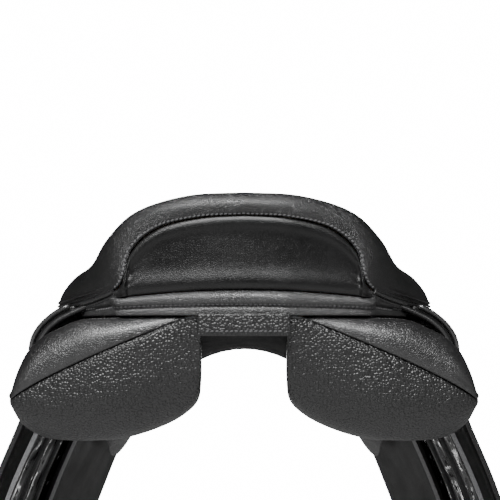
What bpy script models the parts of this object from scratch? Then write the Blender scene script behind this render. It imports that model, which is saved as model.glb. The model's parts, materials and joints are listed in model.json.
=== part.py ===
"""Close-contact jumping saddle, about 17 inches, in metres, +Z up.

+Y points to the horse's head and +X to its right side as seen from behind. The origin lies
on the middle plane, between the panels, where the saddle bears on the horse's back.
"""
import math

import bmesh
import bpy
from mathutils import Vector

for old in list(bpy.data.objects):
    bpy.data.objects.remove(old, do_unlink=True)

parts = bpy.data.collections.new("jumping_saddle")
bpy.context.scene.collection.children.link(parts)
cutters = bpy.data.collections.new("cutters")
bpy.context.scene.collection.children.link(cutters)

# Clearances
FIT = 0.0003
LAYER_GAP = 0.0012

# Leather, padding and plate thicknesses
COVER_T = 0.0025
FOAM_T = 0.012
WEBBING_T = 0.0015
TREE_T = 0.009
FACING_T = 0.003
STRIP_T = 0.003
LINING_T = 0.002
GUSSET_T = 0.0025
SWEAT_FLAP_T = 0.0035
FLAP_T = 0.0045
SKIRT_T = 0.003
STRAP_T = 0.004
WEB_T = 0.0012

# The two sides narrow towards the horse's head by this angle
TOE_IN = math.radians(13.0)

# Seat: centre line, rim and lower edge, from the cantle to the pommel
CANTLE_Y = -0.236
CANTLE_Z = 0.206
POMMEL_Y = 0.222
POMMEL_Z = 0.165
SEAT_LOW_Z = 0.133
SEAT_ROLL = 0.0045
SPINE_SHARE = 0.75
SPINE_END_SHARE = 0.88

# Rear of the panels: one plan curve for panels, strip, tab and facing
REAR_Y = -0.2355
REAR_SWEEP = 0.26
TAB_T = 0.0025
TAB_W = 0.073
TAB_H = 0.0165

# Facing on the back of the cantle
FACING_BASE_Z = 0.1285
FACING_HALF = 0.102
FACING_DROP = 0.006

# The band below it turns forward at the facing's corners, by this share of the way to the widest point
STRIP_TURN_SHARE = 0.45
STRIP_TUCK = 0.002

# Panels
PANEL_FRONT_Y = 0.200
PANEL_TOP_Z = 0.1065
PANEL_TOP_FALL = 0.03
PANEL_TOP_SLOPE = 0.078
CHANNEL_HALF = 0.0345
CHANNEL_WIDEN = 0.010
PANEL_EASE = 0.0006
POINT_POCKET = 0.0125

# Flaps and skirts
FLAP_GAP_TOP = 0.0105
FLAP_GAP_LOW = 0.0175
FLAP_TOP_S = 0.0075
FOLD_S = 0.080
SKIRT_GAP_LOW = 0.0025
SKIRT_TOP_S = 0.0036
SKIRT_END_S = 0.068

# Girth straps
STRAP_W = 0.028
STRAP_PITCH = 0.044
STRAP_FRONT_L = -0.002
STRAP_TOP_S = 0.030
STRAP_END_S = 0.345
WEB_W = 0.022
SWING_EASE = 0.0009

# Stirrup bars
BAR_LENGTH = 0.100
BAR_T = 0.0058
BAR_Z = 0.1029
BAR_PLATE_T = 0.0032
BAR_PLATE_W = 0.0085
BAR_SLOT = 0.010
BAR_W = 0.009
BAR_R = 0.103
BAR_LUG = 0.0125
BAR_FRONT_L = 0.118
BAR_EASE = 0.003
CATCH_L = 0.009
CATCH_PIN_R = 0.0012

# The skirt rises over the bar, so its gap to the flap follows the bar's reach
SKIRT_FROM_R = 0.0953
SKIRT_RISE_SHARE = 0.45
SKIRT_GAP_TOP = SKIRT_RISE_SHARE * (BAR_R + BAR_W - SKIRT_FROM_R)

# Keepers for the stirrup leathers, on the flaps
KEEPER_S = 0.300
KEEPER_L = 0.045
KEEPER_W = 0.012
KEEPER_LENGTH = 0.050
KEEPER_RISE = 0.0045
KEEPER_T = 0.002

# Head arch of the tree
HEAD_Y = 0.155
HEAD_W = 0.026
HEAD_T = 0.007
HEAD_PLATE_T = 0.003

# Facing under the pommel: it leans forward to the cover's lower edge
FRONT_FACE_Y = 0.1985
ARCH_FACING_T = 0.0025
ARCH_EDGE_GAP = 0.0004
ARCH_LEAN_SHARE = 0.72

# D-rings
RING_X = 0.056
RING_Z = 0.1000
CHAPE_EASE = 0.0006
CHAPE_RISE = 0.018
RING_W = 0.025
RING_H = 0.020
RING_R = 0.002
CHAPE_W = 0.014
CHAPE_T = 0.0018


def material(name, colour, roughness, metallic=0.0):
    mat = bpy.data.materials.get(name)
    if mat is None:
        mat = bpy.data.materials.new(name)
        mat.use_nodes = True
        shader = mat.node_tree.nodes["Principled BSDF"]
        shader.inputs["Base Color"].default_value = (*colour, 1.0)
        shader.inputs["Roughness"].default_value = roughness
        shader.inputs["Metallic"].default_value = metallic
    return mat


BLACK = (0.012, 0.012, 0.013)
STEEL = (0.62, 0.61, 0.59)


def add_mesh(name, verts, faces, mat, origin=(0, 0, 0), smooth=True, flip=False, closed=False):
    """One object whose origin is at `origin`; the vertices are given in the world."""
    mesh = bpy.data.meshes.new(name)
    shift = Vector(origin)
    if flip:
        faces = [tuple(reversed(f)) for f in faces]
    mesh.from_pydata([Vector(v) - shift for v in verts], [], faces)
    mesh.materials.append(mat)
    if closed:
        work = bmesh.new()
        work.from_mesh(mesh)
        bmesh.ops.recalc_face_normals(work, faces=work.faces)
        work.to_mesh(mesh)
        work.free()
    obj = bpy.data.objects.new(name, mesh)
    obj.location = shift
    parts.objects.link(obj)
    if smooth:
        mesh.shade_smooth()
        mesh.set_sharp_from_angle(angle=math.radians(35))
    return obj


def smooth_curve(points, count):
    """`count` points along a Catmull-Rom curve through `points`."""
    pts = [Vector(p) for p in points]
    last = len(pts) - 1
    out = []
    for k in range(count):
        t = last * k / (count - 1)
        i = min(int(t), last - 1)
        u = t - i
        p1, p2 = pts[i], pts[i + 1]
        p0 = pts[i - 1] if i > 0 else p1 * 2 - p2
        p3 = pts[i + 2] if i + 2 <= last else p2 * 2 - p1
        a = p1 * 2
        b = p2 - p0
        c = p0 * 2 - p1 * 5 + p2 * 4 - p3
        d = p1 * 3 - p0 - p2 * 3 + p3
        out.append((a + b * u + c * u * u + d * u * u * u) * 0.5)
    return out


def along(pairs, t):
    """Smooth value at t through (t, value) pairs, level beyond both ends."""
    if t <= pairs[0][0]:
        return pairs[0][1]
    if t >= pairs[-1][0]:
        return pairs[-1][1]
    for i in range(len(pairs) - 1):
        a, va = pairs[i]
        b, vb = pairs[i + 1]
        if t <= b:
            before = pairs[i - 1] if i > 0 else pairs[i]
            after = pairs[i + 2] if i + 2 < len(pairs) else pairs[i + 1]
            slope_a = (vb - before[1]) / (b - before[0])
            slope_b = (after[1] - va) / (after[0] - a)
            h = b - a
            u = (t - a) / h
            return (
                va * (2 * u ** 3 - 3 * u ** 2 + 1)
                + slope_a * h * (u ** 3 - 2 * u ** 2 + u)
                + vb * (3 * u ** 2 - 2 * u ** 3)
                + slope_b * h * (u ** 3 - u ** 2)
            )
    return pairs[-1][1]


# Profile of a side: outward distance r and height z, square to the line of the flaps.
# Panel wall, sweat flap, straps, flap and skirt are layers on this one profile.
SIDE_CURVE = (
    (0.0860, 0.1025),
    (0.1030, 0.0955),
    (0.1185, 0.0805),
    (0.1280, 0.0600),
    (0.1385, 0.0340),
    (0.1525, 0.0040),
    (0.1785, -0.0520),
    (0.2000, -0.1160),
    (0.2145, -0.1900),
    (0.2225, -0.2840),
)
STATION_STEPS = (10, 20, 30, 40, 52, 66, 80, 95, 115, 140, 165, 195, 225, 260, 295, 330, 365, 400)


def side_stations():
    """Profile points at set distances along the curve, with distance, point and mitre."""
    dense = smooth_curve(SIDE_CURVE, 400)
    dist = [0.0]
    for a, b in zip(dense, dense[1:]):
        dist.append(dist[-1] + (b - a).length)
    stops = [0.0] + [0.001 * s for s in STATION_STEPS] + [dist[-1]]
    pts = []
    for s in stops:
        i = max(1, next((k for k, d in enumerate(dist) if d >= s - 1e-9), len(dist) - 1))
        u = (s - dist[i - 1]) / (dist[i] - dist[i - 1])
        pts.append(dense[i - 1].lerp(dense[i], u))
    mitres = []
    for i, p in enumerate(pts):
        before = (p - pts[i - 1]).normalized() if i > 0 else None
        after = (pts[i + 1] - p).normalized() if i + 1 < len(pts) else None
        one = Vector((-before.y, before.x)) if before else None
        two = Vector((-after.y, after.x)) if after else None
        one = one or two
        two = two or one
        half = (one + two).normalized()
        mitres.append(half / half.dot(one))
    return stops, pts, mitres


S_AT, S_POINT, S_MITRE = side_stations()
S_LAST = S_AT[-1]


def profile(s, offset):
    """(r, z) at distance s, `offset` outside the profile; offset may be a function of s."""
    i = 0
    while i < len(S_AT) - 2 and S_AT[i + 1] < s:
        i += 1
    u = (s - S_AT[i]) / (S_AT[i + 1] - S_AT[i])
    if callable(offset):
        one, two = offset(S_AT[i]), offset(S_AT[i + 1])
    else:
        one = two = offset
    a = S_POINT[i] + S_MITRE[i] * one
    b = S_POINT[i + 1] + S_MITRE[i + 1] * two
    return a.lerp(b, u)


def in_world(side, r, l, z):
    """A point by its outward distance r, forward distance l and height z."""
    x = r * math.cos(TOE_IN) - l * math.sin(TOE_IN)
    y = r * math.sin(TOE_IN) + l * math.cos(TOE_IN)
    return Vector((side * x, y, z))


def side_x_at(r, y):
    """X of the point of outward distance r at the world's y, on the right side."""
    return (r - y * math.sin(TOE_IN)) / math.cos(TOE_IN)


def r_at_height(z, offset=0.0):
    """Outward distance of the profile where it passes the height z."""
    last = profile(0.0, offset)
    if z >= last.y:
        return last.x
    for s in S_AT[1:]:
        p = profile(s, offset)
        if p.y <= z:
            u = (last.y - z) / (last.y - p.y)
            return last.x + (p.x - last.x) * u
        last = p
    return last.x


def flap_offset(s):
    """Where the flap's inner face lies outside the profile."""
    u = min(max(s / FOLD_S, 0.0), 1.0)
    return FLAP_GAP_TOP + (FLAP_GAP_LOW - FLAP_GAP_TOP) * u * u * (3 - 2 * u)


def skirt_offset(s):
    u = min(max(s / SKIRT_END_S, 0.0), 1.0)
    gap = SKIRT_GAP_TOP + (SKIRT_GAP_LOW - SKIRT_GAP_TOP) * u * u
    return flap_offset(s) + FLAP_T + gap


def rows_between(s_from, s_to, extra=()):
    inner = [s for s in S_AT if s_from + 0.0015 < s < s_to - 0.0015]
    inner += [e for e in extra if s_from < e < s_to and all(abs(e - s) > 0.0015 for s in S_AT)]
    return [s_from] + sorted(inner) + [s_to]


def side_sheet(name, side, s_from, s_to, rear, front, offset, thick, mat, cols=8, extra=(), origin=None):
    """A leather layer: an open sheet laid on the side's profile, thickened outwards."""
    verts = []
    faces = []
    rows = rows_between(s_from, s_to, extra)
    for s in rows:
        p = profile(s, offset)
        a, b = rear(s), front(s)
        for j in range(cols + 1):
            verts.append(in_world(side, p.x, a + (b - a) * j / cols, p.y))
    for i in range(len(rows) - 1):
        for j in range(cols):
            k = i * (cols + 1) + j
            faces.append((k, k + cols + 1, k + cols + 2, k + 1))
    place = origin or verts[0]
    obj = add_mesh(name, verts, faces, mat, place, flip=side < 0)
    shell = obj.modifiers.new("thickness", "SOLIDIFY")
    shell.thickness = thick
    shell.offset = 1.0
    shell.use_even_offset = True
    return obj


def loft(name, rings, mat, origin=(0, 0, 0), close=False):
    """Skin over rings of the same count, with flat caps unless the path closes."""
    n = len(rings[0])
    verts = [v for ring in rings for v in ring]
    faces = []
    last = len(rings) if close else len(rings) - 1
    for i in range(last):
        k, m = i * n, ((i + 1) % len(rings)) * n
        for j in range(n):
            q = (j + 1) % n
            faces.append((k + j, k + q, m + q, m + j))
    if not close:
        faces.append(tuple(range(n - 1, -1, -1)))
        top = (len(rings) - 1) * n
        faces.append(tuple(range(top, top + n)))
    return add_mesh(name, verts, faces, mat, origin, closed=True)


def outline_solid(name, outline, low, high, mat, origin=(0, 0, 0)):
    """A flat outline between two mapping functions, as a plate with side walls."""
    return loft(name, [[low(p) for p in outline], [high(p) for p in outline]], mat, origin)


def channel_half(y):
    u = min(max((y - REAR_Y) / (PANEL_FRONT_Y - REAR_Y), 0.0), 1.0)
    return CHANNEL_HALF + CHANNEL_WIDEN * u


def sweep_back(x):
    """How far forward of the channel's end the rear of the panels lies at x."""
    return REAR_SWEEP * max(0.0, abs(x) - CHANNEL_HALF)


def rear_y(x):
    return REAR_Y + sweep_back(x)


def panel_top(x, y):
    """Height of the panels' upper face at their rear end."""
    inner = PANEL_TOP_Z - PANEL_TOP_FALL * max(0.0, y - rear_y(x))
    return inner - PANEL_TOP_SLOPE * max(0.0, abs(x) - CHANNEL_HALF)


def facing_base(x):
    """Height of the facing's lower edge, which falls towards both corners."""
    return FACING_BASE_Z - FACING_DROP * (x / FACING_HALF) ** 2


# Seat. Rings run round the rim; each ring goes in to the spine line of the seat.
RIM = (
    (0.0, CANTLE_Y, CANTLE_Z),
    (0.046, CANTLE_Y + 0.003, CANTLE_Z - 0.0025),
    (0.088, CANTLE_Y + 0.016, CANTLE_Z - 0.015),
    (0.1125, CANTLE_Y + 0.039, CANTLE_Z - 0.037),
    (0.127, CANTLE_Y + 0.068, CANTLE_Z - 0.058),
    (0.1405, -0.129, 0.138),
    (0.1345, -0.096, 0.131),
    (0.1088, -0.040, 0.127),
    (0.0985, 0.0, 0.127),
    (0.086, 0.050, 0.129),
    (0.0734, 0.100, 0.134),
    (0.0608, 0.150, 0.143),
    (0.0485, 0.190, POMMEL_Z - 0.013),
    (0.028, POMMEL_Y - 0.008, POMMEL_Z - 0.004),
    (0.0, POMMEL_Y, POMMEL_Z),
)
WELT = (
    (0.0, REAR_Y - 0.0035, CANTLE_Z - 0.017),
    (0.036, REAR_Y - 0.0025, CANTLE_Z - 0.0195),
    (0.070, REAR_Y + 0.004, CANTLE_Z - 0.028),
    (0.0925, REAR_Y + 0.010, CANTLE_Z - 0.047),
    (0.1045, REAR_Y + 0.017, FACING_BASE_Z - 0.0005),
    (0.1545, -0.135, 0.1108),
    (0.1385, -0.096, 0.1168),
    (0.1035, -0.040, 0.1125),
    (0.0940, 0.0, 0.109),
    (0.0820, 0.050, 0.110),
    (0.0695, 0.100, 0.113),
    (0.0570, 0.150, 0.121),
    (0.0450, 0.188, POMMEL_Z - 0.034),
    (0.0270, POMMEL_Y - 0.010, POMMEL_Z - 0.024),
    (0.0, POMMEL_Y - 0.0025, POMMEL_Z - 0.019),
)
SEAT_LINE = (
    (-0.236, CANTLE_Z),
    (-0.215, 0.180),
    (-0.190, 0.159),
    (-0.160, 0.1445),
    (-0.120, 0.136),
    (-0.060, SEAT_LOW_Z),
    (0.0, SEAT_LOW_Z + 0.0005),
    (0.050, 0.138),
    (0.100, 0.146),
    (0.150, 0.156),
    (0.190, POMMEL_Z - 0.002),
    (POMMEL_Y, POMMEL_Z),
)
HALF = 29
TURN_STEPS = 20


def mirrored_ring(points):
    """A closed ring from the rear centre round the right side, the front and the left."""
    right = smooth_curve(points, HALF)
    left = [Vector((-p.x, p.y, p.z)) for p in reversed(right[1:-1])]
    return right + left


def spine_of(point):
    y = min(max(point.y, CANTLE_Y), POMMEL_Y)
    return Vector((0.0, y * SPINE_SHARE, 0.0))


def seat_height(rim_point, share, y):
    drop = (1.0 - share) ** 2.2
    return along(SEAT_LINE, y) * (1.0 - drop) + rim_point.z * drop


def dish_ring(share, depth):
    """A ring inside the rim: share 0 is the rim and 1 the spine; depth is downwards."""
    ring = []
    for p in mirrored_ring(RIM):
        c = spine_of(p)
        x = p.x + (c.x - p.x) * share
        y = p.y + (c.y - p.y) * share
        ring.append(Vector((x, y, seat_height(p, share, y) - depth)))
    return ring


def outward(point):
    d = point - spine_of(point)
    return Vector((d.x, d.y, 0.0)).normalized()


def ring_solid(name, upper, lower, mat, closed_centre):
    """A solid between two stacks of rings that run from the outside to the middle."""
    n = len(upper[0])
    k = len(upper)
    verts = [v for ring in upper + lower for v in ring]
    faces = []
    for i in range(k - 1):
        for j in range(n):
            q = (j + 1) % n
            a, b = i * n, (i + 1) * n
            faces.append((a + j, a + q, b + q, b + j))
            a, b = (k + i) * n, (k + i + 1) * n
            faces.append((a + j, b + j, b + q, a + q))
    for j in range(n):
        q = (j + 1) % n
        faces.append((j, k * n + j, k * n + q, q))
    top, bottom = (k - 1) * n, (2 * k - 1) * n
    if closed_centre:
        for i in range(n // 2):
            a, b = i, i + 1
            c, d = (n - i - 1) % n, (n - i) % n
            quad = (a, b, c, d) if i else (a, b, c)
            if i == n // 2 - 1:
                quad = (a, b, d)
            faces.append(tuple(top + v for v in quad))
            faces.append(tuple(bottom + v for v in reversed(quad)))
    else:
        for j in range(n):
            q = (j + 1) % n
            faces.append((top + j, top + q, bottom + q, bottom + j))
    return add_mesh(name, verts, faces, mat, closed=True)


TREE_SHARES = (0.18, 0.29, 0.42, 0.57)
SEAT_SHARES = (0.0, 0.09, 0.18, 0.29, 0.42, 0.57, 0.73, SPINE_END_SHARE)
FOAM_TOP = COVER_T + FIT
FOAM_BOTTOM = FOAM_TOP + FOAM_T
WEBBING_TOP = FOAM_BOTTOM + FIT
WEBBING_BOTTOM = WEBBING_TOP + WEBBING_T
TREE_TOP = WEBBING_BOTTOM + FIT
TREE_BOTTOM = TREE_TOP + TREE_T


def build_seat():
    leather = material("seat_leather", BLACK, 0.38)
    rim = mirrored_ring(RIM)
    low = mirrored_ring(WELT)
    low_out = list(low)
    low_in = [p - outward(r) * COVER_T for p, r in zip(low, rim)]
    mid_out = [(r + p) / 2 + outward(r) * SEAT_ROLL for r, p in zip(rim, low)]
    mid_in = [p - outward(r) * COVER_T for p, r in zip(mid_out, rim)]
    rim_in = [p - outward(p) * COVER_T * 0.8 - Vector((0, 0, COVER_T)) for p in rim]
    upper = [low_out, mid_out] + [dish_ring(s, 0.0) for s in SEAT_SHARES]
    lower = [low_in, mid_in, rim_in] + [dish_ring(s, COVER_T) for s in SEAT_SHARES[1:]]
    ring_solid("seat_cover", upper, lower, leather, True)

    foam = material("seat_foam", (0.55, 0.52, 0.42), 0.9)
    shares = SEAT_SHARES[1:]
    top = [dish_ring(s, FOAM_TOP) for s in shares]
    base = [dish_ring(s, FOAM_BOTTOM) for s in shares]
    ring_solid("seat_foam", top, base, foam, True)

    webbing = material("webbing", (0.45, 0.42, 0.35), 0.95)
    shares = (0.42, 0.57, 0.73, SPINE_END_SHARE)
    top = [dish_ring(s, WEBBING_TOP) for s in shares]
    base = [dish_ring(s, WEBBING_BOTTOM) for s in shares]
    ring_solid("seat_webbing", top, base, webbing, True)

    wood = material("tree_laminate", (0.35, 0.22, 0.12), 0.6)
    top = [dish_ring(s, TREE_TOP) for s in TREE_SHARES]
    base = [dish_ring(s, TREE_BOTTOM) for s in TREE_SHARES]
    ring_solid("tree_frame", top, base, wood, False)


def build_rear():
    leather = material("facing_leather", BLACK, 0.42)
    rim = mirrored_ring(RIM)
    low = mirrored_ring(WELT)
    inside = [p - outward(r) * (COVER_T + 2 * FIT) for p, r in zip(low, rim)]
    steps = 2 * (HALF - 1) // (len(WELT) - 1) * 2
    arc = inside[-steps:] + inside[: steps + 1]
    verts = []
    rows = 4
    for p in arc:
        base = facing_base(p.x)
        for i in range(rows + 1):
            z = base + (p.z - FIT - base) * i / rows
            verts.append(Vector((p.x, p.y, z)))
    faces = []
    for j in range(len(arc) - 1):
        for i in range(rows):
            k = j * (rows + 1) + i
            faces.append((k, k + rows + 1, k + rows + 2, k + 1))
    facing = add_mesh("cantle_facing", verts, faces, leather)
    shell = facing.modifiers.new("thickness", "SOLIDIFY")
    shell.thickness = FACING_T
    shell.offset = -1.0

    strip = material("strip_leather", (0.02, 0.02, 0.021), 0.45)
    back = [(x, rear_y(x) - FIT, facing_base(x) - FIT) for x in (0.0, 0.012, CHANNEL_HALF, 0.055, 0.08, 0.096)]
    dense = smooth_curve(WELT, TURN_STEPS * (len(WELT) - 1) + 1)
    turn = [TURN_STEPS * 4 + round(TURN_STEPS * STRIP_TURN_SHARE * k / 4) for k in range(5)]
    for k in turn:
        p = dense[k] - outward(dense[k]) * (COVER_T + 2 * FIT)
        high = facing_base(p.x) - FIT if k == turn[0] else p.z + STRIP_TUCK
        back.append((p.x, p.y, high))
    path = [(-x, y, z) for x, y, z in reversed(back[1:])] + back
    verts = []
    for x, y, high in path:
        low = panel_top(x, y) + 2 * FIT
        for z in (low, (low + high) / 2, high):
            verts.append(Vector((x, y, z)))
    faces = []
    for j in range(len(path) - 1):
        for i in range(2):
            k = j * 3 + i
            faces.append((k, k + 3, k + 4, k + 1))
    band = add_mesh("panel_rear_strip", verts, faces, strip)
    shell = band.modifiers.new("thickness", "SOLIDIFY")
    shell.thickness = STRIP_T
    shell.offset = -1.0

    grain = material("grain_leather", BLACK, 0.55)
    w = TAB_W / 2
    top = PANEL_TOP_Z + 0.003
    front = REAR_Y - GUSSET_T - 2 * FIT
    tab = [(-w, top - TAB_H), (w, top - TAB_H), (w, top), (-w, top)]
    outline_solid(
        "channel_tab",
        tab,
        lambda p: Vector((p[0], front - TAB_T, p[1])),
        lambda p: Vector((p[0], front, p[1])),
        grain,
    )


CEILING = ((-0.2325, 0.0925), (-0.18, 0.0810), (-0.10, 0.0690), (-0.03, 0.0630), (0.05, 0.0665), (0.13, 0.0770))
ARCH_RISE = ((-0.2325, 0.0005), (-0.15, 0.006), (-0.03, 0.0095), (0.13, 0.010))


def build_lining():
    leather = material("lining_leather", BLACK, 0.5)
    ends = (CEILING[0][0], CEILING[-1][0])
    rings = []
    for i in range(10):
        y = ends[0] + (ends[1] - ends[0]) * i / 9
        half = channel_half(y) - 2 * FIT
        under = []
        for j in range(9):
            a = -1 + 2 * j / 8
            z = along(CEILING, y) + along(ARCH_RISE, y) * (1 - a * a)
            under.append(Vector((half * a, y, z)))
        over = [p + Vector((0, 0, LINING_T)) for p in reversed(under)]
        rings.append(under + over)
    loft("channel_lining", rings, leather)


# Panel sections: y, bow share, outer low z, inner low z, belly, outer top z, inner top z
PANEL_SECTIONS = (
    (REAR_Y, 1.0, 0.037, 0.1025, 0.0015, 0.0975, PANEL_TOP_Z),
    (REAR_Y + 0.005, 1.0, 0.035, 0.0860, 0.0110, 0.0970, PANEL_TOP_Z),
    (REAR_Y + 0.014, 1.0, 0.034, 0.0670, 0.0240, 0.0960, PANEL_TOP_Z),
    (REAR_Y + 0.028, 1.0, 0.033, 0.0540, 0.0360, 0.0950, 0.1060),
    (REAR_Y + 0.050, 0.85, 0.032, 0.0480, 0.0400, 0.0945, 0.1040),
    (-0.140, 0.5, 0.031, 0.0470, 0.0370, 0.0940, 0.1000),
    (-0.090, 0.1, 0.030, 0.0480, 0.0330, 0.0930, 0.0970),
    (-0.040, 0.0, 0.028, 0.0500, 0.0290, 0.0920, 0.0955),
    (0.010, 0.0, 0.024, 0.0530, 0.0250, 0.0910, 0.0955),
    (0.060, 0.0, 0.010, 0.0570, 0.0200, 0.0880, 0.0960),
    (0.100, 0.0, -0.010, 0.0620, 0.0150, 0.0840, 0.0960),
    (0.130, 0.0, -0.030, 0.0640, 0.0120, 0.0720, 0.0900),
    (0.160, 0.0, -0.040, 0.0650, 0.0090, 0.0700, 0.0880),
    (0.182, 0.0, -0.036, 0.0670, 0.0060, 0.0690, 0.0870),
    (0.195, 0.0, -0.022, 0.0690, 0.0030, 0.0660, 0.0860),
    (PANEL_FRONT_Y, 0.0, -0.004, 0.0700, 0.0010, 0.0630, 0.0840),
)
POCKET = ((0.085, 0.0), (0.125, 1.0))
WALL_STEPS = 5
BELLY_STEPS = 8
BELLY_LEAN = 0.85
BELLY_CROWD = 1.35


def panel_wall(y, z):
    inset = PANEL_EASE + POINT_POCKET * along(POCKET, y)
    return side_x_at(r_at_height(z, -inset), y)


def panel_loop(section, side):
    y, bow, low_z, inner_z, belly, outer_top, inner_top = section
    half = channel_half(y)
    loop = [(half, inner_top)]
    for i in range(WALL_STEPS + 1):
        z = outer_top + (low_z - outer_top) * i / WALL_STEPS
        x = panel_wall(y, z)
        for _ in range(4):
            x = panel_wall(y + bow * sweep_back(x), z)
        loop.append((x, z))
    ox = loop[-1][0]
    for i in range(1, BELLY_STEPS + 1):
        t = (i / BELLY_STEPS) ** BELLY_CROWD
        x = ox + (half - ox) * t
        z = low_z + (inner_z - low_z) * t
        bulge = math.sin(math.pi * t ** BELLY_LEAN) ** 0.8 if t < 1 else 0.0
        loop.append((x, z - belly * bulge))
    loop.append((half, inner_z * 0.5 + inner_top * 0.5))
    return [Vector((side * x, y + bow * sweep_back(x), z)) for x, z in loop]


def build_panels():
    leather = material("panel_leather", BLACK, 0.55)
    smooth = material("gusset_leather", BLACK, 0.4)
    for side, tag in ((-1, "left"), (1, "right")):
        rings = [panel_loop(s, side) for s in PANEL_SECTIONS]
        loft("panel_" + tag, rings, leather)
        end = panel_loop(PANEL_SECTIONS[0], side)
        back = [p - Vector((0, GUSSET_T + FIT, 0)) for p in end]
        front = [p - Vector((0, FIT, 0)) for p in end]
        loft("rear_gusset_" + tag, [back, front], smooth)


# Outlines of the side pieces: distance down the profile, then forward distance
FLAP_REAR = ((0.010, -0.200), (0.040, -0.188), (0.080, -0.138), (0.120, -0.118), (0.200, -0.111),
             (0.280, -0.110), (0.340, -0.104), (0.385, -0.068), (0.410, -0.022), (0.4225, 0.022))
FLAP_FRONT = ((0.010, 0.156), (0.040, 0.174), (0.090, 0.198), (0.150, 0.215), (0.210, 0.216),
              (0.270, 0.200), (0.330, 0.172), (0.380, 0.130), (0.410, 0.085), (0.4225, 0.050))
SWEAT_REAR = ((0.012, -0.120), (0.045, -0.060), (0.090, -0.010), (0.160, 0.005), (0.260, 0.0),
              (0.330, 0.005), (0.380, 0.030), (0.405, 0.060))
SWEAT_FRONT = ((0.012, 0.135), (0.060, 0.165), (0.130, 0.190), (0.200, 0.192), (0.260, 0.178),
               (0.330, 0.150), (0.380, 0.115), (0.405, 0.080))
SKIRT_REAR = ((0.0036, -0.046), (0.024, -0.112), (0.040, -0.105), (0.056, -0.068), (0.068, -0.010))
SKIRT_FRONT = ((0.0036, 0.160), (0.024, 0.182), (0.040, 0.180), (0.056, 0.156), (0.068, 0.105))
BLOCK_REAR = ((0.085, 0.120), (0.150, 0.138), (0.220, 0.132), (0.270, 0.120))
BLOCK_FRONT = ((0.085, 0.140), (0.150, 0.178), (0.220, 0.178), (0.270, 0.140))
BLOCK_H = 0.0105


def lerp_outline(pairs):
    return lambda s: along(pairs, s)


def cut_out(obj, side, r, l, z):
    """Cut a block, given in the side's own directions, out of a piece."""
    corners = [(r[i], l[j], z[k]) for k in (0, 1) for i, j in ((0, 0), (1, 0), (1, 1), (0, 1))]
    verts = [in_world(side, *c) for c in corners]
    faces = [(0, 3, 2, 1), (4, 5, 6, 7), (0, 1, 5, 4), (1, 2, 6, 5), (2, 3, 7, 6), (3, 0, 4, 7)]
    tool = add_mesh("cut_" + obj.name, verts, faces, obj.data.materials[0], smooth=False, closed=True)
    parts.objects.unlink(tool)
    cutters.objects.link(tool)
    tool.hide_render = True
    tool.display_type = "WIRE"
    cut = obj.modifiers.new("cut", "BOOLEAN")
    cut.operation = "DIFFERENCE"
    cut.object = tool


def bent_strip(name, path, half, across, thick, mat, origin):
    """A strip bent along a path of points; `across` is its width direction."""
    wide = Vector(across).normalized()
    rings = []
    for i, p in enumerate(path):
        a = path[max(i - 1, 0)]
        b = path[min(i + 1, len(path) - 1)]
        n = wide.cross((b - a).normalized()).normalized()
        rings.append([p - wide * half, p + wide * half, p + wide * half + n * thick, p - wide * half + n * thick])
    return loft(name, rings, mat, origin)


def build_catch(side, tag, steel):
    """The flip-up catch that closes the slot of the stirrup bar, and its pin."""
    end = BAR_FRONT_L - BAR_LENGTH
    top = BAR_Z + BAR_T
    axis_z = top + FIT + CATCH_PIN_R
    axis_l = end - FIT - CATCH_PIN_R
    r0, r1 = BAR_R, BAR_R + BAR_W
    outline = [(end - FIT, BAR_Z), (end - FIT, top), (end - CATCH_L + 0.002, top),
               (end - CATCH_L, top - 0.002), (end - CATCH_L, BAR_Z + 0.0015),
               (end - CATCH_L + 0.0015, BAR_Z)]
    outline_solid("bar_catch_" + tag, outline,
                  lambda p: in_world(side, r0 + FIT, p[0], p[1]),
                  lambda p: in_world(side, r1 - FIT, p[0], p[1]),
                  steel, in_world(side, (r0 + r1) / 2, axis_l, axis_z))
    ring = []
    for k in range(10):
        a = 2 * math.pi * k / 10
        ring.append((axis_l + CATCH_PIN_R * math.cos(a), axis_z + CATCH_PIN_R * math.sin(a)))
    outline_solid("bar_catch_pin_" + tag, ring,
                  lambda p: in_world(side, r0, p[0], p[1]),
                  lambda p: in_world(side, r1, p[0], p[1]), steel,
                  in_world(side, (r0 + r1) / 2, axis_l, axis_z))


def tree_edge_r(l_from, l_to):
    """Outward distance of the tree's outer edge between two forward distances."""
    edge = []
    for p in dish_ring(TREE_SHARES[0], TREE_TOP)[1 : HALF - 1]:
        r = p.x * math.cos(TOE_IN) + p.y * math.sin(TOE_IN)
        l = -p.x * math.sin(TOE_IN) + p.y * math.cos(TOE_IN)
        edge.append((l, r))
    best = 0.0
    for k in range(9):
        l = l_from + (l_to - l_from) * k / 8
        for (a, ra), (b, rb) in zip(edge, edge[1:]):
            if a <= l <= b:
                best = max(best, ra + (rb - ra) * (l - a) / (b - a))
    return best


def build_web(name, side, mid, mat):
    """Woven tape from the tree's rail to the top of a girth strap."""
    low = SWEAT_FLAP_T + 2 * FIT
    first = profile(0.0, low)
    root = tree_edge_r(mid - WEB_W / 2, mid + WEB_W / 2) + 2 * FIT
    inner = [Vector((root, first.y + 0.0006))]
    inner += [profile(s, low) for s in (0.0, 0.010, 0.020, STRAP_TOP_S - SWING_EASE)]
    outer = [Vector((root, first.y + 0.0006 + WEB_T))]
    outer += [profile(s, low + WEB_T) for s in (0.0, 0.010, 0.020, STRAP_TOP_S - SWING_EASE)]
    rings = []
    for p, q in zip(inner, outer):
        rings.append([
            in_world(side, p.x, mid - WEB_W / 2, p.y), in_world(side, p.x, mid + WEB_W / 2, p.y),
            in_world(side, q.x, mid + WEB_W / 2, q.y), in_world(side, q.x, mid - WEB_W / 2, q.y),
        ])
    loft(name, rings, mat)


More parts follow.
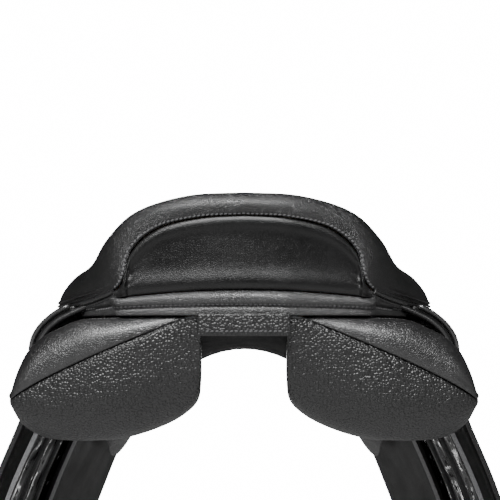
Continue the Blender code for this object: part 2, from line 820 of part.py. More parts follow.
def build_keeper(side, tag, mat):
    """A leather bridge on the flap that the end of the stirrup leather tucks under."""
    face = flap_offset(S_LAST) + FLAP_T + FIT
    rise = (0.0, 0.0, 0.85, 1.0, 1.0, 0.85, 0.0, 0.0)
    share = (0.0, 0.16, 0.26, 0.36, 0.64, 0.74, 0.84, 1.0)
    rings = []
    for u, h in zip(share, rise):
        l = KEEPER_L + KEEPER_LENGTH * u
        ring = []
        for s, t in ((0, 0), (1, 0), (1, 1), (0, 1)):
            p = profile(KEEPER_S + KEEPER_W * s, face + KEEPER_RISE * h + KEEPER_T * t)
            ring.append(in_world(side, p.x, l, p.y))
        rings.append(ring)
    fold = profile(FOLD_S, lambda s: flap_offset(s) + FLAP_T)
    loft("stirrup_leather_keeper_" + tag, rings, mat, in_world(side, fold.x, 0.0, fold.y))


def build_ring(side, tag, leather, steel):
    """Front D-ring and the folded leather chape that its straight side hangs in."""
    face = FRONT_FACE_Y + ARCH_FACING_T + FIT
    bend = RING_R + CHAPE_EASE
    yc = face + CHAPE_T + bend
    zc = RING_Z
    path = [Vector((side * RING_X, face + CHAPE_T, zc + CHAPE_RISE)), Vector((side * RING_X, face + CHAPE_T, zc + 0.008))]
    for k in range(9):
        a = math.pi + math.pi * k / 8
        path.append(Vector((side * RING_X, yc + bend * math.cos(a), zc + bend * math.sin(a))))
    path.append(Vector((side * RING_X, yc + bend, zc + 0.013)))
    bent_strip("d_ring_chape_" + tag, path, CHAPE_W / 2, (-1, 0, 0), CHAPE_T, leather, path[0])
    half = RING_W / 2
    loop = [(-half, 0.0), (-half / 3, 0.0), (half / 3, 0.0), (half, 0.0)]
    for k in range(1, 10):
        a = math.pi * k / 10
        loop.append((half * math.cos(a), -0.003 - (RING_H - 0.003) * math.sin(a)))
    curve = bpy.data.curves.new("d_ring_" + tag, "CURVE")
    curve.dimensions = "3D"
    line = curve.splines.new("POLY")
    line.points.add(len(loop) - 1)
    for point, (x, z) in zip(line.points, loop):
        point.co = (x, 0.0, z, 1.0)
    line.use_cyclic_u = True
    curve.bevel_depth = RING_R
    curve.bevel_resolution = 1
    curve.use_fill_caps = True
    curve.materials.append(steel)
    ring = bpy.data.objects.new("d_ring_" + tag, curve)
    ring.location = (side * RING_X, yc, zc)
    parts.objects.link(ring)


def build_side(side, tag):
    flap_leather = material("flap_leather", BLACK, 0.42)
    skirt_leather = material("skirt_leather", BLACK, 0.36)
    sweat_leather = material("sweat_flap_leather", (0.015, 0.015, 0.015), 0.7)
    strap_leather = material("strap_leather", (0.008, 0.008, 0.009), 0.16)
    steel = material("steel", STEEL, 0.3, 1.0)
    web = material("web_tape", (0.6, 0.58, 0.52), 0.9)

    side_sheet("sweat_flap_" + tag, side, 0.012, 0.405, lerp_outline(SWEAT_REAR),
               lerp_outline(SWEAT_FRONT), 0.0, SWEAT_FLAP_T, sweat_leather, cols=7,
               extra=(0.022, 0.385, 0.396))

    # The fold axis runs along the outer face, so the moving flap swings clear of the root.
    fold = profile(FOLD_S, lambda s: flap_offset(s) + FLAP_T)
    root = side_sheet("flap_root_" + tag, side, FLAP_TOP_S, FOLD_S - FIT, lerp_outline(FLAP_REAR),
                      lerp_outline(FLAP_FRONT), flap_offset, FLAP_T, flap_leather, cols=12)
    cut_out(root, side, (0.070, BAR_R + BAR_W + BAR_EASE),
            (BAR_FRONT_L - BAR_LENGTH - CATCH_L - BAR_EASE, BAR_FRONT_L + BAR_EASE), (0.080, 0.130))
    side_sheet("flap_" + tag, side, FOLD_S + FIT, S_LAST, lerp_outline(FLAP_REAR),
               lerp_outline(FLAP_FRONT), flap_offset, FLAP_T, flap_leather, cols=9,
               extra=(0.409, 0.417), origin=in_world(side, fold.x, 0.0, fold.y))

    hinge = profile(SKIRT_TOP_S, lambda s: skirt_offset(s) + SKIRT_T)
    side_sheet("skirt_" + tag, side, SKIRT_TOP_S, SKIRT_END_S, lerp_outline(SKIRT_REAR),
               lerp_outline(SKIRT_FRONT), skirt_offset, SKIRT_T, skirt_leather, cols=9,
               extra=(0.060,), origin=in_world(side, hinge.x, 0.0, hinge.y))

    strap_in = SWEAT_FLAP_T + LAYER_GAP
    names = ("girth_strap_front_", "girth_strap_middle_", "girth_strap_rear_")
    for k, name in enumerate(names):
        mid = STRAP_FRONT_L - k * STRAP_PITCH
        pivot = profile(STRAP_TOP_S, strap_in)

        def strap_edge(sign, mid=mid):
            def edge(s):
                tip = max(0.0, s - (STRAP_END_S - 0.014)) / 0.014
                width = STRAP_W / 2 * math.sqrt(max(0.0, 1.0 - 0.93 * tip * tip))
                return mid + sign * width
            return edge

        side_sheet(name + tag, side, STRAP_TOP_S, STRAP_END_S, strap_edge(-1), strap_edge(1),
                   strap_in, STRAP_T, strap_leather, cols=2,
                   extra=[STRAP_END_S - back for back in (0.012, 0.007, 0.003)],
                   origin=in_world(side, pivot.x, mid, pivot.y))

        build_web(name.replace("strap", "web") + tag, side, mid, web)

    # Padded block in front of the rider's knee, on the sweat flap
    rows = rows_between(0.085, 0.270, ())
    rings = []
    for s in rows:
        a, b = along(BLOCK_REAR, s), along(BLOCK_FRONT, s)
        ring = []
        end = min(s - 0.085, 0.270 - s) / 0.185
        height = BLOCK_H * min(1.0, 0.35 + 4.0 * end)
        base = SWEAT_FLAP_T + FIT
        for t, h in ((0, 0.0), (0, 0.35), (0.12, 0.85), (0.5, 1.0), (0.88, 0.85), (1, 0.35), (1, 0.0)):
            p = profile(s, base + height * h)
            ring.append(in_world(side, p.x, a + (b - a) * t, p.y))
        rings.append(ring)
    loft("knee_block_" + tag, rings, material("block_leather", BLACK, 0.45))

    # Stirrup bar: a base plate and a bar in one forging, its slot open towards the rear
    build_catch(side, tag, steel)
    build_keeper(side, tag, flap_leather)
    build_ring(side, tag, skirt_leather, steel)
    r1 = BAR_R - BAR_SLOT
    r0 = r1 - BAR_PLATE_W
    r2 = BAR_R
    r3 = BAR_R + BAR_W
    l0 = BAR_FRONT_L - BAR_LENGTH
    l1 = BAR_FRONT_L - 0.014
    l2 = BAR_FRONT_L
    arch_back = HEAD_Y - HEAD_W / 2 - FIT

    def beside_arch(r):
        return (r, (arch_back - r * math.sin(TOE_IN)) / math.cos(TOE_IN))

    lug = r0 - BAR_LUG
    outline = [(r0, l0 + 0.006), (r1, l0 + 0.006), (r1, l1), (r2, l1), (r2, l0), (r3, l0),
               (r3, l2 - 0.006), (r3 - 0.006, l2), beside_arch(r1), beside_arch(lug),
               (lug, l2 - 0.006), (r0, l2 - 0.012)]
    bar = outline_solid("stirrup_bar_" + tag, outline,
                        lambda p: in_world(side, p[0], p[1], BAR_Z),
                        lambda p: in_world(side, p[0], p[1], BAR_Z + BAR_T),
                        steel)
    cut_out(bar, side, (lug - 0.02, (r1 + r2) / 2), (l0 - 0.02, l2 + 0.03),
            (BAR_Z + BAR_PLATE_T, BAR_Z + 0.03))


def build_head():
    steel = material("steel", STEEL, 0.3, 1.0)
    wood = material("tree_laminate", (0.35, 0.22, 0.12), 0.6)
    gap = 0.0030 + HEAD_T / 2

    def on_side(z):
        return side_x_at(r_at_height(z, -gap), HEAD_Y)

    right = [(0.0, 0.1242), (0.020, 0.1222), (0.037, 0.1140)]
    right += [(on_side(z), z) for z in (0.092, 0.072, 0.050, 0.028, 0.006, -0.012)]
    path = [(-x, z) for x, z in reversed(right[1:])] + right

    def arch(name, pts, inner, thick, width, mat):
        rings = []
        for i, (x, z) in enumerate(pts):
            a = Vector(pts[max(i - 1, 0)])
            b = Vector(pts[min(i + 1, len(pts) - 1)])
            d = (b - a).normalized()
            n = Vector((-d.y, d.x))
            lo = Vector((x, z)) + n * inner
            hi = lo + n * thick
            y0, y1 = HEAD_Y - width / 2, HEAD_Y + width / 2
            rings.append([
                Vector((lo.x, y0, lo.y)), Vector((lo.x, y1, lo.y)),
                Vector((hi.x, y1, hi.y)), Vector((hi.x, y0, hi.y)),
            ])
        return loft(name, rings, mat)

    arch("head_arch", path, -HEAD_T / 2, HEAD_T, HEAD_W, wood)
    middle = path[5:-5]
    arch("gullet_plate", middle, -HEAD_T / 2 - FIT - HEAD_PLATE_T, HEAD_PLATE_T, HEAD_W - 0.004, steel)
    arch("head_plate", path[6:-6], HEAD_T / 2 + FIT, HEAD_PLATE_T, HEAD_W - 0.004, steel)


def build_front():
    """Facing below the pommel that joins the two panels over the withers."""
    leather = material("front_leather", BLACK, 0.45)
    foot = [Vector((0.0740, FRONT_FACE_Y, 0.0843)), Vector((0.0660, FRONT_FACE_Y, 0.1090)),
            Vector((0.0520, FRONT_FACE_Y, 0.1245))]
    under = [p - Vector((0, 0, ARCH_EDGE_GAP)) for p in smooth_curve(WELT, HALF)[-4:]]
    front = [p + Vector((0, ARCH_FACING_T, 0)) for p in foot] + under
    back = foot + [p - outward(p) * ARCH_FACING_T for p in under]
    inner = smooth_curve(((0.0465, 0.0843), (0.0400, 0.0960), (0.0240, 0.1040), (0.0, 0.1070)), len(front))
    rings = []
    for a, outer, behind in zip(inner, front, back):
        low = Vector((a.x, FRONT_FACE_Y, a.y))
        lean = Vector((0, (behind.y - FRONT_FACE_Y) * (ARCH_LEAN_SHARE - 0.5), 0))
        mid = (low + behind) / 2 + lean
        thick = Vector((0, ARCH_FACING_T, 0))
        rings.append([low, low + thick, mid + thick, outer, behind, mid])
    left = [[Vector((-p.x, p.y, p.z)) for p in ring] for ring in rings[:-1]]
    rings = left + list(reversed(rings))
    loft("panel_front_arch", rings, leather)


build_seat()
build_rear()
build_lining()
build_panels()
build_head()
build_front()
for hand, word in ((-1, "left"), (1, "right")):
    build_side(hand, word)
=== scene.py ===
"""Looks of the jumping saddle: leather, padding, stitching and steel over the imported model.

Metres, +Z up, +Y to the horse's head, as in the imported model.
"""
import json
from bisect import bisect_right
from functools import lru_cache
from math import cos, exp, pi, radians, sin, sqrt

import bmesh
import bpy
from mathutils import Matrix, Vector
from mathutils.bvhtree import BVHTree

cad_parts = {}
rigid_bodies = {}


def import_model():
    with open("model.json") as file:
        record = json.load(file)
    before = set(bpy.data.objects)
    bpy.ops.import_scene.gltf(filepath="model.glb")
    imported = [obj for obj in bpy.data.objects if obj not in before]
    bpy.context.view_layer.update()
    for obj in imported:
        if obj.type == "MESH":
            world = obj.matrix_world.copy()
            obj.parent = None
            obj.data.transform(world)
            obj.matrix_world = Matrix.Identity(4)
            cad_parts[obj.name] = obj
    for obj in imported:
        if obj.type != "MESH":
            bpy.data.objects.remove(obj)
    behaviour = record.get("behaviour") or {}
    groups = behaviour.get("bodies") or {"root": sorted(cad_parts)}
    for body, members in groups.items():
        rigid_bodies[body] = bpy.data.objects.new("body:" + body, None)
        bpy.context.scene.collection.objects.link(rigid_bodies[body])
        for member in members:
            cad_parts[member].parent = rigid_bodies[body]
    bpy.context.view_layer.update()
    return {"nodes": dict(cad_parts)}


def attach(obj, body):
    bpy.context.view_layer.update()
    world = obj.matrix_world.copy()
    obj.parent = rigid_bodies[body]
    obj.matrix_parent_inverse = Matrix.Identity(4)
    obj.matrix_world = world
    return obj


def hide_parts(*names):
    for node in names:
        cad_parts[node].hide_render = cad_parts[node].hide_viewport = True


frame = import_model()

FIT = 0.0003
SIDES = ((-1, "left"), (1, "right"))
STRAPS = ("front", "middle", "rear")

# Sizes that the solids have too
TOE_IN = radians(13.0)
COVER_T = 0.0025
CANTLE_Y = -0.236
CANTLE_Z = 0.206
POMMEL_Y = 0.222
POMMEL_Z = 0.165
SEAT_LOW_Z = 0.133
SPINE_SHARE = 0.75
SPINE_END = 0.88
SEAT_ROLL = 0.0045
REAR_Y = -0.2355
REAR_SWEEP = 0.26
FACING_BASE_Z = 0.1285
FACING_HALF = 0.102
FACING_DROP = 0.006
PANEL_TOP_Z = 0.1065
PANEL_FRONT_Y = 0.200
CHANNEL_HALF = 0.0345
CHANNEL_WIDEN = 0.010
GUSSET_T = 0.0025
PANEL_TOP_FALL = 0.03
PANEL_TOP_DROP = 0.14
STRIP_TURN_SHARE = 0.62
STRIP_TUCK = 0.002
SWEAT_FLAP_T = 0.0035
LAYER_GAP = 0.0012
FLAP_T = 0.0045
FLAP_GAP_TOP = 0.0105
FLAP_GAP_LOW = 0.0175
FLAP_TOP_S = 0.0075
FOLD_S = 0.080
SKIRT_T = 0.003
SKIRT_GAP_TOP = 0.0075
SKIRT_GAP_LOW = 0.0025
SKIRT_TOP_S = 0.0036
SKIRT_END_S = 0.068
STRAP_T = 0.004
STRAP_W = 0.028
STRAP_PITCH = 0.044
STRAP_FRONT_L = -0.002
STRAP_TOP_S = 0.030
STRAP_END_S = 0.345

# The photo's camera: distance behind the panels' rear ends, height, shift, and width of the frame there
CAMERA_AWAY = 2.0
CAMERA_Z = 0.160
CAMERA_X = 0.005
FRAME_WIDTH = 0.400


# Shared geometry
def smooth_curve(points, count):
    """`count` points along a Catmull-Rom curve through `points`."""
    pts = [Vector(p) for p in points]
    last = len(pts) - 1
    out = []
    for k in range(count):
        t = last * k / (count - 1)
        i = min(int(t), last - 1)
        u = t - i
        p1, p2 = pts[i], pts[i + 1]
        p0 = pts[i - 1] if i > 0 else p1 * 2 - p2
        p3 = pts[i + 2] if i + 2 <= last else p2 * 2 - p1
        a = p1 * 2
        b = p2 - p0
        c = p0 * 2 - p1 * 5 + p2 * 4 - p3
        d = p1 * 3 - p0 - p2 * 3 + p3
        out.append((a + b * u + c * u * u + d * u * u * u) * 0.5)
    return out


def along(pairs, t):
    """Smooth value at t through (t, value) pairs, level beyond both ends."""
    if t <= pairs[0][0]:
        return pairs[0][1]
    if t >= pairs[-1][0]:
        return pairs[-1][1]
    i = 0
    while t > pairs[i + 1][0]:
        i += 1
    a, va = pairs[i]
    b, vb = pairs[i + 1]
    before = pairs[i - 1] if i > 0 else pairs[i]
    after = pairs[i + 2] if i + 2 < len(pairs) else pairs[i + 1]
    slope_a = (vb - before[1]) / (b - before[0])
    slope_b = (after[1] - va) / (after[0] - a)
    h = b - a
    u = (t - a) / h
    return (
        va * (2 * u ** 3 - 3 * u ** 2 + 1)
        + slope_a * h * (u ** 3 - 2 * u ** 2 + u)
        + vb * (3 * u ** 2 - 2 * u ** 3)
        + slope_b * h * (u ** 3 - u ** 2)
    )


def ease(t):
    """0 to 1 as t goes from 0 to 1, with level ends."""
    t = min(max(t, 0.0), 1.0)
    return t * t * (3 - 2 * t)


def hump(x, middle, width):
    """A smooth rise round `middle`, 1 at its top."""
    return exp(-((x - middle) / width) ** 2)


def reach_along(points):
    """How far along a line each of its points is."""
    reach = [0.0]
    for one, two in zip(points, points[1:]):
        reach.append(reach[-1] + (two - one).length)
    return reach


SIDE_CURVE = (
    (0.086, 0.1025), (0.103, 0.0955), (0.1185, 0.0805), (0.128, 0.06), (0.1385, 0.034),
    (0.1525, 0.004), (0.1785, -0.052), (0.2, -0.116), (0.2145, -0.19), (0.2225, -0.284),
)
DENSE = smooth_curve(SIDE_CURVE, 500)
DIST = reach_along(DENSE)
S_LAST = DIST[-1]


def profile(s, offset=0.0):
    """(r, z) at distance s down the side's profile, `offset` outside it."""
    s = min(max(s, 0.0), S_LAST)
    k = min(bisect_right(DIST, s), len(DIST) - 1) - 1
    p = DENSE[k].lerp(DENSE[k + 1], (s - DIST[k]) / (DIST[k + 1] - DIST[k]))
    d = (DENSE[min(k + 7, len(DENSE) - 1)] - DENSE[max(k - 6, 0)]).normalized()
    amount = offset(s) if callable(offset) else offset
    return p + Vector((-d.y, d.x)) * amount


def on_side(side, s, l, offset=0.0):
    """The place at distance s down a side's profile and l forward along it; both sides are toed in."""
    r, z = profile(s, offset)
    x = r * cos(TOE_IN) - l * sin(TOE_IN)
    y = r * sin(TOE_IN) + l * cos(TOE_IN)
    return Vector((side * x, y, z))


@lru_cache(None)
def r_at_height(z):
    """How far the side's profile is from the middle at a height."""
    lo, hi = 0.0, S_LAST
    for _ in range(30):
        mid = (lo + hi) / 2
        if profile(mid).y > z:
            lo = mid
        else:
            hi = mid
    return profile(lo).x


def flap_offset(s):
    return FLAP_GAP_TOP + (FLAP_GAP_LOW - FLAP_GAP_TOP) * ease(s / FOLD_S)


def skirt_offset(s):
    u = min(max(s / SKIRT_END_S, 0.0), 1.0)
    return flap_offset(s) + FLAP_T + SKIRT_GAP_TOP + (SKIRT_GAP_LOW - SKIRT_GAP_TOP) * u * u


def channel_half(y):
    return CHANNEL_HALF + CHANNEL_WIDEN * min(max((y - REAR_Y) / (PANEL_FRONT_Y - REAR_Y), 0.0), 1.0)


def sweep_back(x):
    return REAR_SWEEP * max(0.0, abs(x) - CHANNEL_HALF)


def rear_y(x):
    return REAR_Y + sweep_back(x)


def panel_top(x, y):
    out = max(0.0, abs(x) - CHANNEL_HALF)
    return PANEL_TOP_Z - PANEL_TOP_FALL * max(0.0, y - rear_y(x)) - PANEL_TOP_DROP * out * out


def facing_base(x):
    return FACING_BASE_Z - FACING_DROP * (x / FACING_HALF) ** 2


FORWARD = Vector((0.0, 1.0, 0.0))
UP = Vector((0.0, 0.0, 1.0))


# Mesh helpers
def outward_mesh(name, points, faces, outside=None):
    """A mesh whose faces look outwards, or toward `outside` where that is given."""
    mesh = bpy.data.meshes.new(name)
    mesh.from_pydata([tuple(p) for p in points], [], faces)
    work = bmesh.new()
    work.from_mesh(mesh)
    bmesh.ops.recalc_face_normals(work, faces=work.faces)
    work.faces.ensure_lookup_table()
    if outside and work.faces[len(work.faces) // 2].normal.dot(outside) < 0:
        bmesh.ops.reverse_faces(work, faces=work.faces)
    work.to_mesh(mesh)
    work.free()
    return mesh


def new_object(name, data):
    obj = bpy.data.objects.new(name, data)
    bpy.context.scene.collection.objects.link(obj)
    return obj


def new_mesh(name, verts, faces, mat, nodes=None, body="saddle"):
    """A finished piece on a body, which stands for the named CAD nodes."""
    mesh = outward_mesh(name, verts, faces)
    mesh.shade_smooth()
    mesh.materials.append(mat)
    obj = new_object(name, mesh)
    obj["body"] = body
    if nodes:
        obj["node"] = nodes
    return obj


# A look's slot has the look's own word, but for three of them
SLOTS = {look + "_look": look + "_leather" for look in (
    "seat", "facing", "strip", "gusset", "panel", "flap", "skirt", "sweat_flap", "strap", "block")}
SLOTS.update(tab_look="grain_leather", bead_look="skirt_leather", band_look="sweat_flap_leather")


def settle():
    """Every new piece rides on its body and stands for its node."""
    for obj in list(bpy.context.scene.objects):
        if "body" in obj:
            body = obj["body"]
            if "node" in obj:
                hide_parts(*obj["node"].split(","))
            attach(obj, body)


def grid_faces(rows, cols, close_cols=False, first=0):
    faces = []
    span = cols if close_cols else cols - 1
    for i in range(rows - 1):
        for j in range(span):
            q = (j + 1) % cols
            a, b = first + i * cols, first + (i + 1) * cols
            faces.append((a + j, a + q, b + q, b + j))
    return faces


def add_subsurf(obj, levels=1):
    mod = obj.modifiers.new("smooth", "SUBSURF")
    mod.levels = levels
    mod.render_levels = levels


def add_bevel(obj, width, segments):
    mod = obj.modifiers.new("round", "BEVEL")
    mod.width = width
    mod.segments = segments
    mod.limit_method = "ANGLE"
    mod.angle_limit = radians(40)


def thicken(obj, thick, toward, even=True):
    """Thickens a sheet on the side of it that looks `toward`, judged at its middle face."""
    polygons = obj.data.polygons
    mod = obj.modifiers.new("thickness", "SOLIDIFY")
    mod.thickness = thick
    mod.offset = 1.0 if polygons[len(polygons) // 2].normal.dot(toward) > 0 else -1.0
    mod.use_even_offset = even
    return mod


def rear_sheet(name, verts, cols, thick, mat, nodes):
    """A sheet of leather across the rear, from rows of `cols` points on its rear face."""
    obj = new_mesh(name, verts, grid_faces(len(verts) // cols, cols), mat, nodes)
    thicken(obj, thick, FORWARD)
    add_subsurf(obj)
    return obj


def surface_of(obj):
    """A search tree over the finished surface of a piece."""
    ev = obj.evaluated_get(bpy.context.evaluated_depsgraph_get())
    mesh = ev.to_mesh()
    verts = [obj.matrix_world @ v.co for v in mesh.vertices]
    polys = [list(p.vertices) for p in mesh.polygons]
    ev.to_mesh_clear()
    return BVHTree.FromPolygons(verts, polys)


def place_at(points, reach, want):
    """The place at a distance along a line, and the line's direction there."""
    k = min(bisect_right(reach, want + 1e-9), len(reach) - 1) - 1
    run = (points[k + 1] - points[k]).normalized()
    return points[k] + run * (want - reach[k]), run


# A stitch: share of its length from its middle, width and height
STITCH = ((-0.5, 0.35, 0.1), (-0.3, 1.0, 0.8), (0.0, 1.1, 1.0), (0.3, 1.0, 0.8), (0.5, 0.35, 0.1))
# Pitch, length, width, lift and slant of a row of stitches
CANTLE_ROW = (0.0036, 0.0028, 0.0008, 0.0003, 0.35)
HEM_ROW = (0.0038, 0.0026, 0.0007, 0.0003, 0.2)
EDGE_ROW = (0.0044, 0.0033, 0.0006, 0.0002, 0.0)


def stitches(name, points, sheet, mat, body, row):
    """A row of raised stitches that follows a line on a piece."""
    pitch, length, width, lift, slant = row
    surface = surface_of(sheet)
    reach = reach_along(points)
    count = max(2, round(reach[-1] / pitch))
    verts, faces = [], []
    for i in range(count):
        place, run = place_at(points, reach, reach[-1] * (i + 0.5) / count)
        spot, normal, _, _ = surface.find_nearest(place, 0.03)
        if spot is None:
            continue
        run = (run - normal * run.dot(normal)).normalized()
        across = normal.cross(run)
        run = (run + across * slant).normalized()
        across = normal.cross(run)
        base = len(verts)
        for t, w, h in STITCH:
            mid = spot + run * (t * length) + normal * lift
            half = width * w
            for a, up in ((-1, 0), (-0.6, 0.8), (0.6, 0.8), (1, 0)):
                verts.append(mid + across * (a * half) + normal * (up * h * width - 0.0001))
        faces += grid_faces(len(STITCH), 4, False, base)
    new_mesh(name, verts, faces, mat, body=body)


def tube(name, points, radius, mat, body):
    """A round cord through points."""
    curve = bpy.data.curves.new(name, "CURVE")
    curve.dimensions = "3D"
    line = curve.splines.new("POLY")
    line.points.add(len(points) - 1)
    for spot, p in zip(line.points, points):
        spot.co = (*p, 1.0)
    line.use_smooth = True
    curve.bevel_depth = radius
    curve.bevel_resolution = 3
    curve.use_fill_caps = True
    curve.materials.append(mat)
    new_object(name, curve)["body"] = body


# Materials
def material_start(name, colour, roughness, metallic=0.0):
    mat = bpy.data.materials.new(name)
    mat.use_nodes = True
    tree = mat.node_tree
    shader = tree.nodes["Principled BSDF"]
    for key, value in (("Base Color", (*colour, 1.0)), ("Roughness", roughness), ("Metallic", metallic)):
        shader.inputs[key].default_value = value
    return mat, tree, shader


def node(tree, kind, **values):
    """A new node with its settings."""
    made = tree.nodes.new(kind)
    for key, value in values.items():
        if key in made.inputs:
            made.inputs[key].default_value = value
        else:
            setattr(made, key, value)
    return made


def join(source, target):
    """Feeds one socket from another of the same node tree."""
    source.id_data.links.new(source, target)


def place_in(tree):
    return tree.nodes.new("ShaderNodeTexCoord").outputs["Object"]


def texture(place, kind, out="Fac", **values):
    made = node(place.id_data, "ShaderNodeTex" + kind, **values)
    join(place, made.inputs["Vector"])
    return made.outputs[out]


def ramp(source, stops):
    made = node(source.id_data, "ShaderNodeValToRGB")
    points = made.color_ramp.elements
    while len(points) < len(stops):
        points.new(0.5)
    for point, (place, value) in zip(points, stops):
        point.position = place
        point.color = (value, value, value, 1.0)
    join(source, made.inputs[0])
    return made.outputs["Color"]


def bump(height, strength, distance, under=None):
    """The normal of a relief, laid over the normal `under`."""
    made = node(height.id_data, "ShaderNodeBump", Strength=strength, Distance=distance)
    join(height, made.inputs["Height"])
    if under:
        join(under, made.inputs["Normal"])
    return made.outputs["Normal"]


def map_range(source, to, start=(0.0, 1.0), **settings):
    made = node(source.id_data, "ShaderNodeMapRange", **settings)
    for key, value in zip(("From Min", "From Max", "To Min", "To Max"), (*start, *to)):
        made.inputs[key].default_value = value
    join(source, made.inputs["Value"])
    return made.outputs[0]


def maths(operation, *sources):
    made = node(sources[0].id_data, "ShaderNodeMath", operation=operation)
    for source, target in zip(sources, made.inputs):
        join(source, target)
    return made.outputs[0]


def two_tones(shader, factor, dark, light):
    """The base colour goes from `dark` to `light` with `factor`."""
    tone = node(factor.id_data, "ShaderNodeMix", data_type="RGBA")
    tone.inputs["A"].default_value = (*dark, 1.0)
    tone.inputs["B"].default_value = (*light, 1.0)
    join(factor, tone.inputs["Factor"])
    join(tone.outputs["Result"], shader.inputs["Base Color"])


PORES = ((0.0, 0.0), (0.10, 0.72), (0.22, 1.0))
PEBBLES = ((0.0, 1.0), (0.38, 0.82), (0.58, 0.42), (0.78, 0.0))


def leather(name, colour, roughness, grain, depth, crease, pebble=False, spread=0.07, shine=0.5, wave=0.0):
    """Black leather: pores or pebbles of size `grain`, faint creases, and uneven shine."""
    mat, tree, shader = material_start(name, (colour, colour, colour * 1.04), roughness)
    shader.inputs["Specular IOR Level"].default_value = shine
    place = place_in(tree)
    warp = texture(place, "Noise", "Color", Scale=0.30 / grain, Detail=2.0)
    shift = node(tree, "ShaderNodeVectorMath", operation="MULTIPLY_ADD")
    join(warp, shift.inputs[0])
    shift.inputs[1].default_value = (grain * 1.1, grain * 1.1, grain * 1.1)
    join(place, shift.inputs[2])
    kind, loose, stops = ("F1", 0.85, PEBBLES) if pebble else ("DISTANCE_TO_EDGE", 1.0, PORES)
    cells = texture(shift.outputs[0], "Voronoi", "Distance", feature=kind, Scale=1.0 / grain,
                    Randomness=loose)
    bumps = ramp(cells, stops)
    fine = texture(place, "Noise", Scale=1.6 / grain, Detail=4.0, Roughness=0.6)
    big = texture(place, "Noise", Scale=26.0, Detail=5.0, Roughness=0.55)

    normal = bump(texture(place, "Noise", Scale=34.0, Detail=0.0), 1.0, wave) if wave else None
    normal = bump(big, 0.6, crease, normal)
    normal = bump(bumps, 1.0, depth, normal)
    join(bump(fine, 0.4, 0.00005, normal), shader.inputs["Normal"])
    join(map_range(big, (roughness - spread, roughness + spread), (0.3, 0.7)), shader.inputs["Roughness"])
    dark, light = colour * 0.45, colour * 1.5
    two_tones(shader, bumps, (dark, dark, colour * 0.47), (light, light, light * 1.03))
    return mat


def thread(name, colour):
    mat, tree, shader = material_start(name, colour, 0.7)
    twist = texture(place_in(tree), "Wave", Scale=900.0, Distortion=2.0)
    join(bump(twist, 0.6, 0.0001), shader.inputs["Normal"])
    two_tones(shader, twist, [c * 0.6 for c in colour], colour)
    shader.inputs["Sheen Weight"].default_value = 0.2
    return mat


def steel_look(name):
    mat, tree, shader = material_start(name, (0.62, 0.61, 0.59), 0.28, 1.0)
    scuff = texture(place_in(tree), "Noise", Scale=160.0, Detail=6.0)
    join(map_range(scuff, (0.2, 0.42)), shader.inputs["Roughness"])
    join(bump(scuff, 0.25, 0.00008), shader.inputs["Normal"])
    return mat


def woven(name, colour, pitch):
    mat, tree, shader = material_start(name, colour, 0.9)
    place = place_in(tree)
    ways = [texture(place, "Wave", Scale=0.16 / pitch, bands_direction=way) for way in "XY"]
    both = maths("MULTIPLY", *ways)
    join(bump(both, 0.8, 0.0003), shader.inputs["Normal"])
    two_tones(shader, both, [c * 0.5 for c in colour], colour)
    return mat


def wood_look(name):
    mat, tree, shader = material_start(name, (0.35, 0.22, 0.12), 0.55)
    rings = texture(place_in(tree), "Wave", Scale=90.0, Distortion=4.0, bands_direction="Z")
    two_tones(shader, rings, (0.24, 0.13, 0.06), (0.48, 0.31, 0.17))
    return mat


# Colour, roughness, grain size, grain depth and crease depth
SEAT = leather("seat_look", 0.0022, 0.34, 0.0013, 0.00017, 0.0004, shine=0.6)
FACING = leather("facing_look", 0.0022, 0.34, 0.0013, 0.00006, 0.0006, shine=0.36)
STRIP = leather("strip_look", 0.006, 0.42, 0.0015, 0.00020, 0.0006, shine=0.95)
SMOOTH = leather("gusset_look", 0.004, 0.36, 0.0017, 0.00015, 0.0007, shine=0.85)
PEBBLE = leather("panel_look", 0.0028, 0.44, 0.0024, 0.00080, 0.0006, pebble=True, spread=0.04, shine=0.55)
TAB = leather("tab_look", 0.004, 0.46, 0.0022, 0.00050, 0.0004, pebble=True, spread=0.04)
LINING = leather("lining_look", 0.003, 0.65, 0.0014, 0.00008, 0.0003, shine=0.05)
FLAP_LOOK = leather("flap_look", 0.003, 0.40, 0.0014, 0.00010, 0.0004)
SKIRT_LOOK = leather("skirt_look", 0.003, 0.34, 0.0011, 0.00006, 0.0004)
SWEAT_LOOK = leather("sweat_flap_look", 0.0018, 0.55, 0.0010, 0.00008, 0.0012, spread=0.05, shine=0.18)
BLOCK_LOOK = leather("block_look", 0.0035, 0.42, 0.0014, 0.00012, 0.0005)
STRAP_LOOK = leather("strap_look", 0.002, 0.07, 0.0030, 0.00002, 0.0004, spread=0.02, shine=0.16, wave=0.010)
BEAD = leather("bead_look", 0.007, 0.28, 0.0011, 0.00005, 0.0003, shine=0.9)
BAND = leather("band_look", 0.085, 0.62, 0.0012, 0.00012, 0.0002, spread=0.04)
EDGE = leather("edge_look", 0.030, 0.40, 0.0010, 0.00005, 0.0002)
THREAD = thread("light_thread", (0.055, 0.055, 0.057))
DARK_THREAD = thread("dark_thread", (0.035, 0.035, 0.037))
STEEL = steel_look("steel")
WEBBING = woven("webbing", (0.45, 0.42, 0.35), 0.003)
TAPE = woven("web_tape", (0.6, 0.58, 0.52), 0.0016)
WOOD = wood_look("tree_laminate")
FOAM = woven("seat_foam", (0.55, 0.52, 0.42), 0.002)


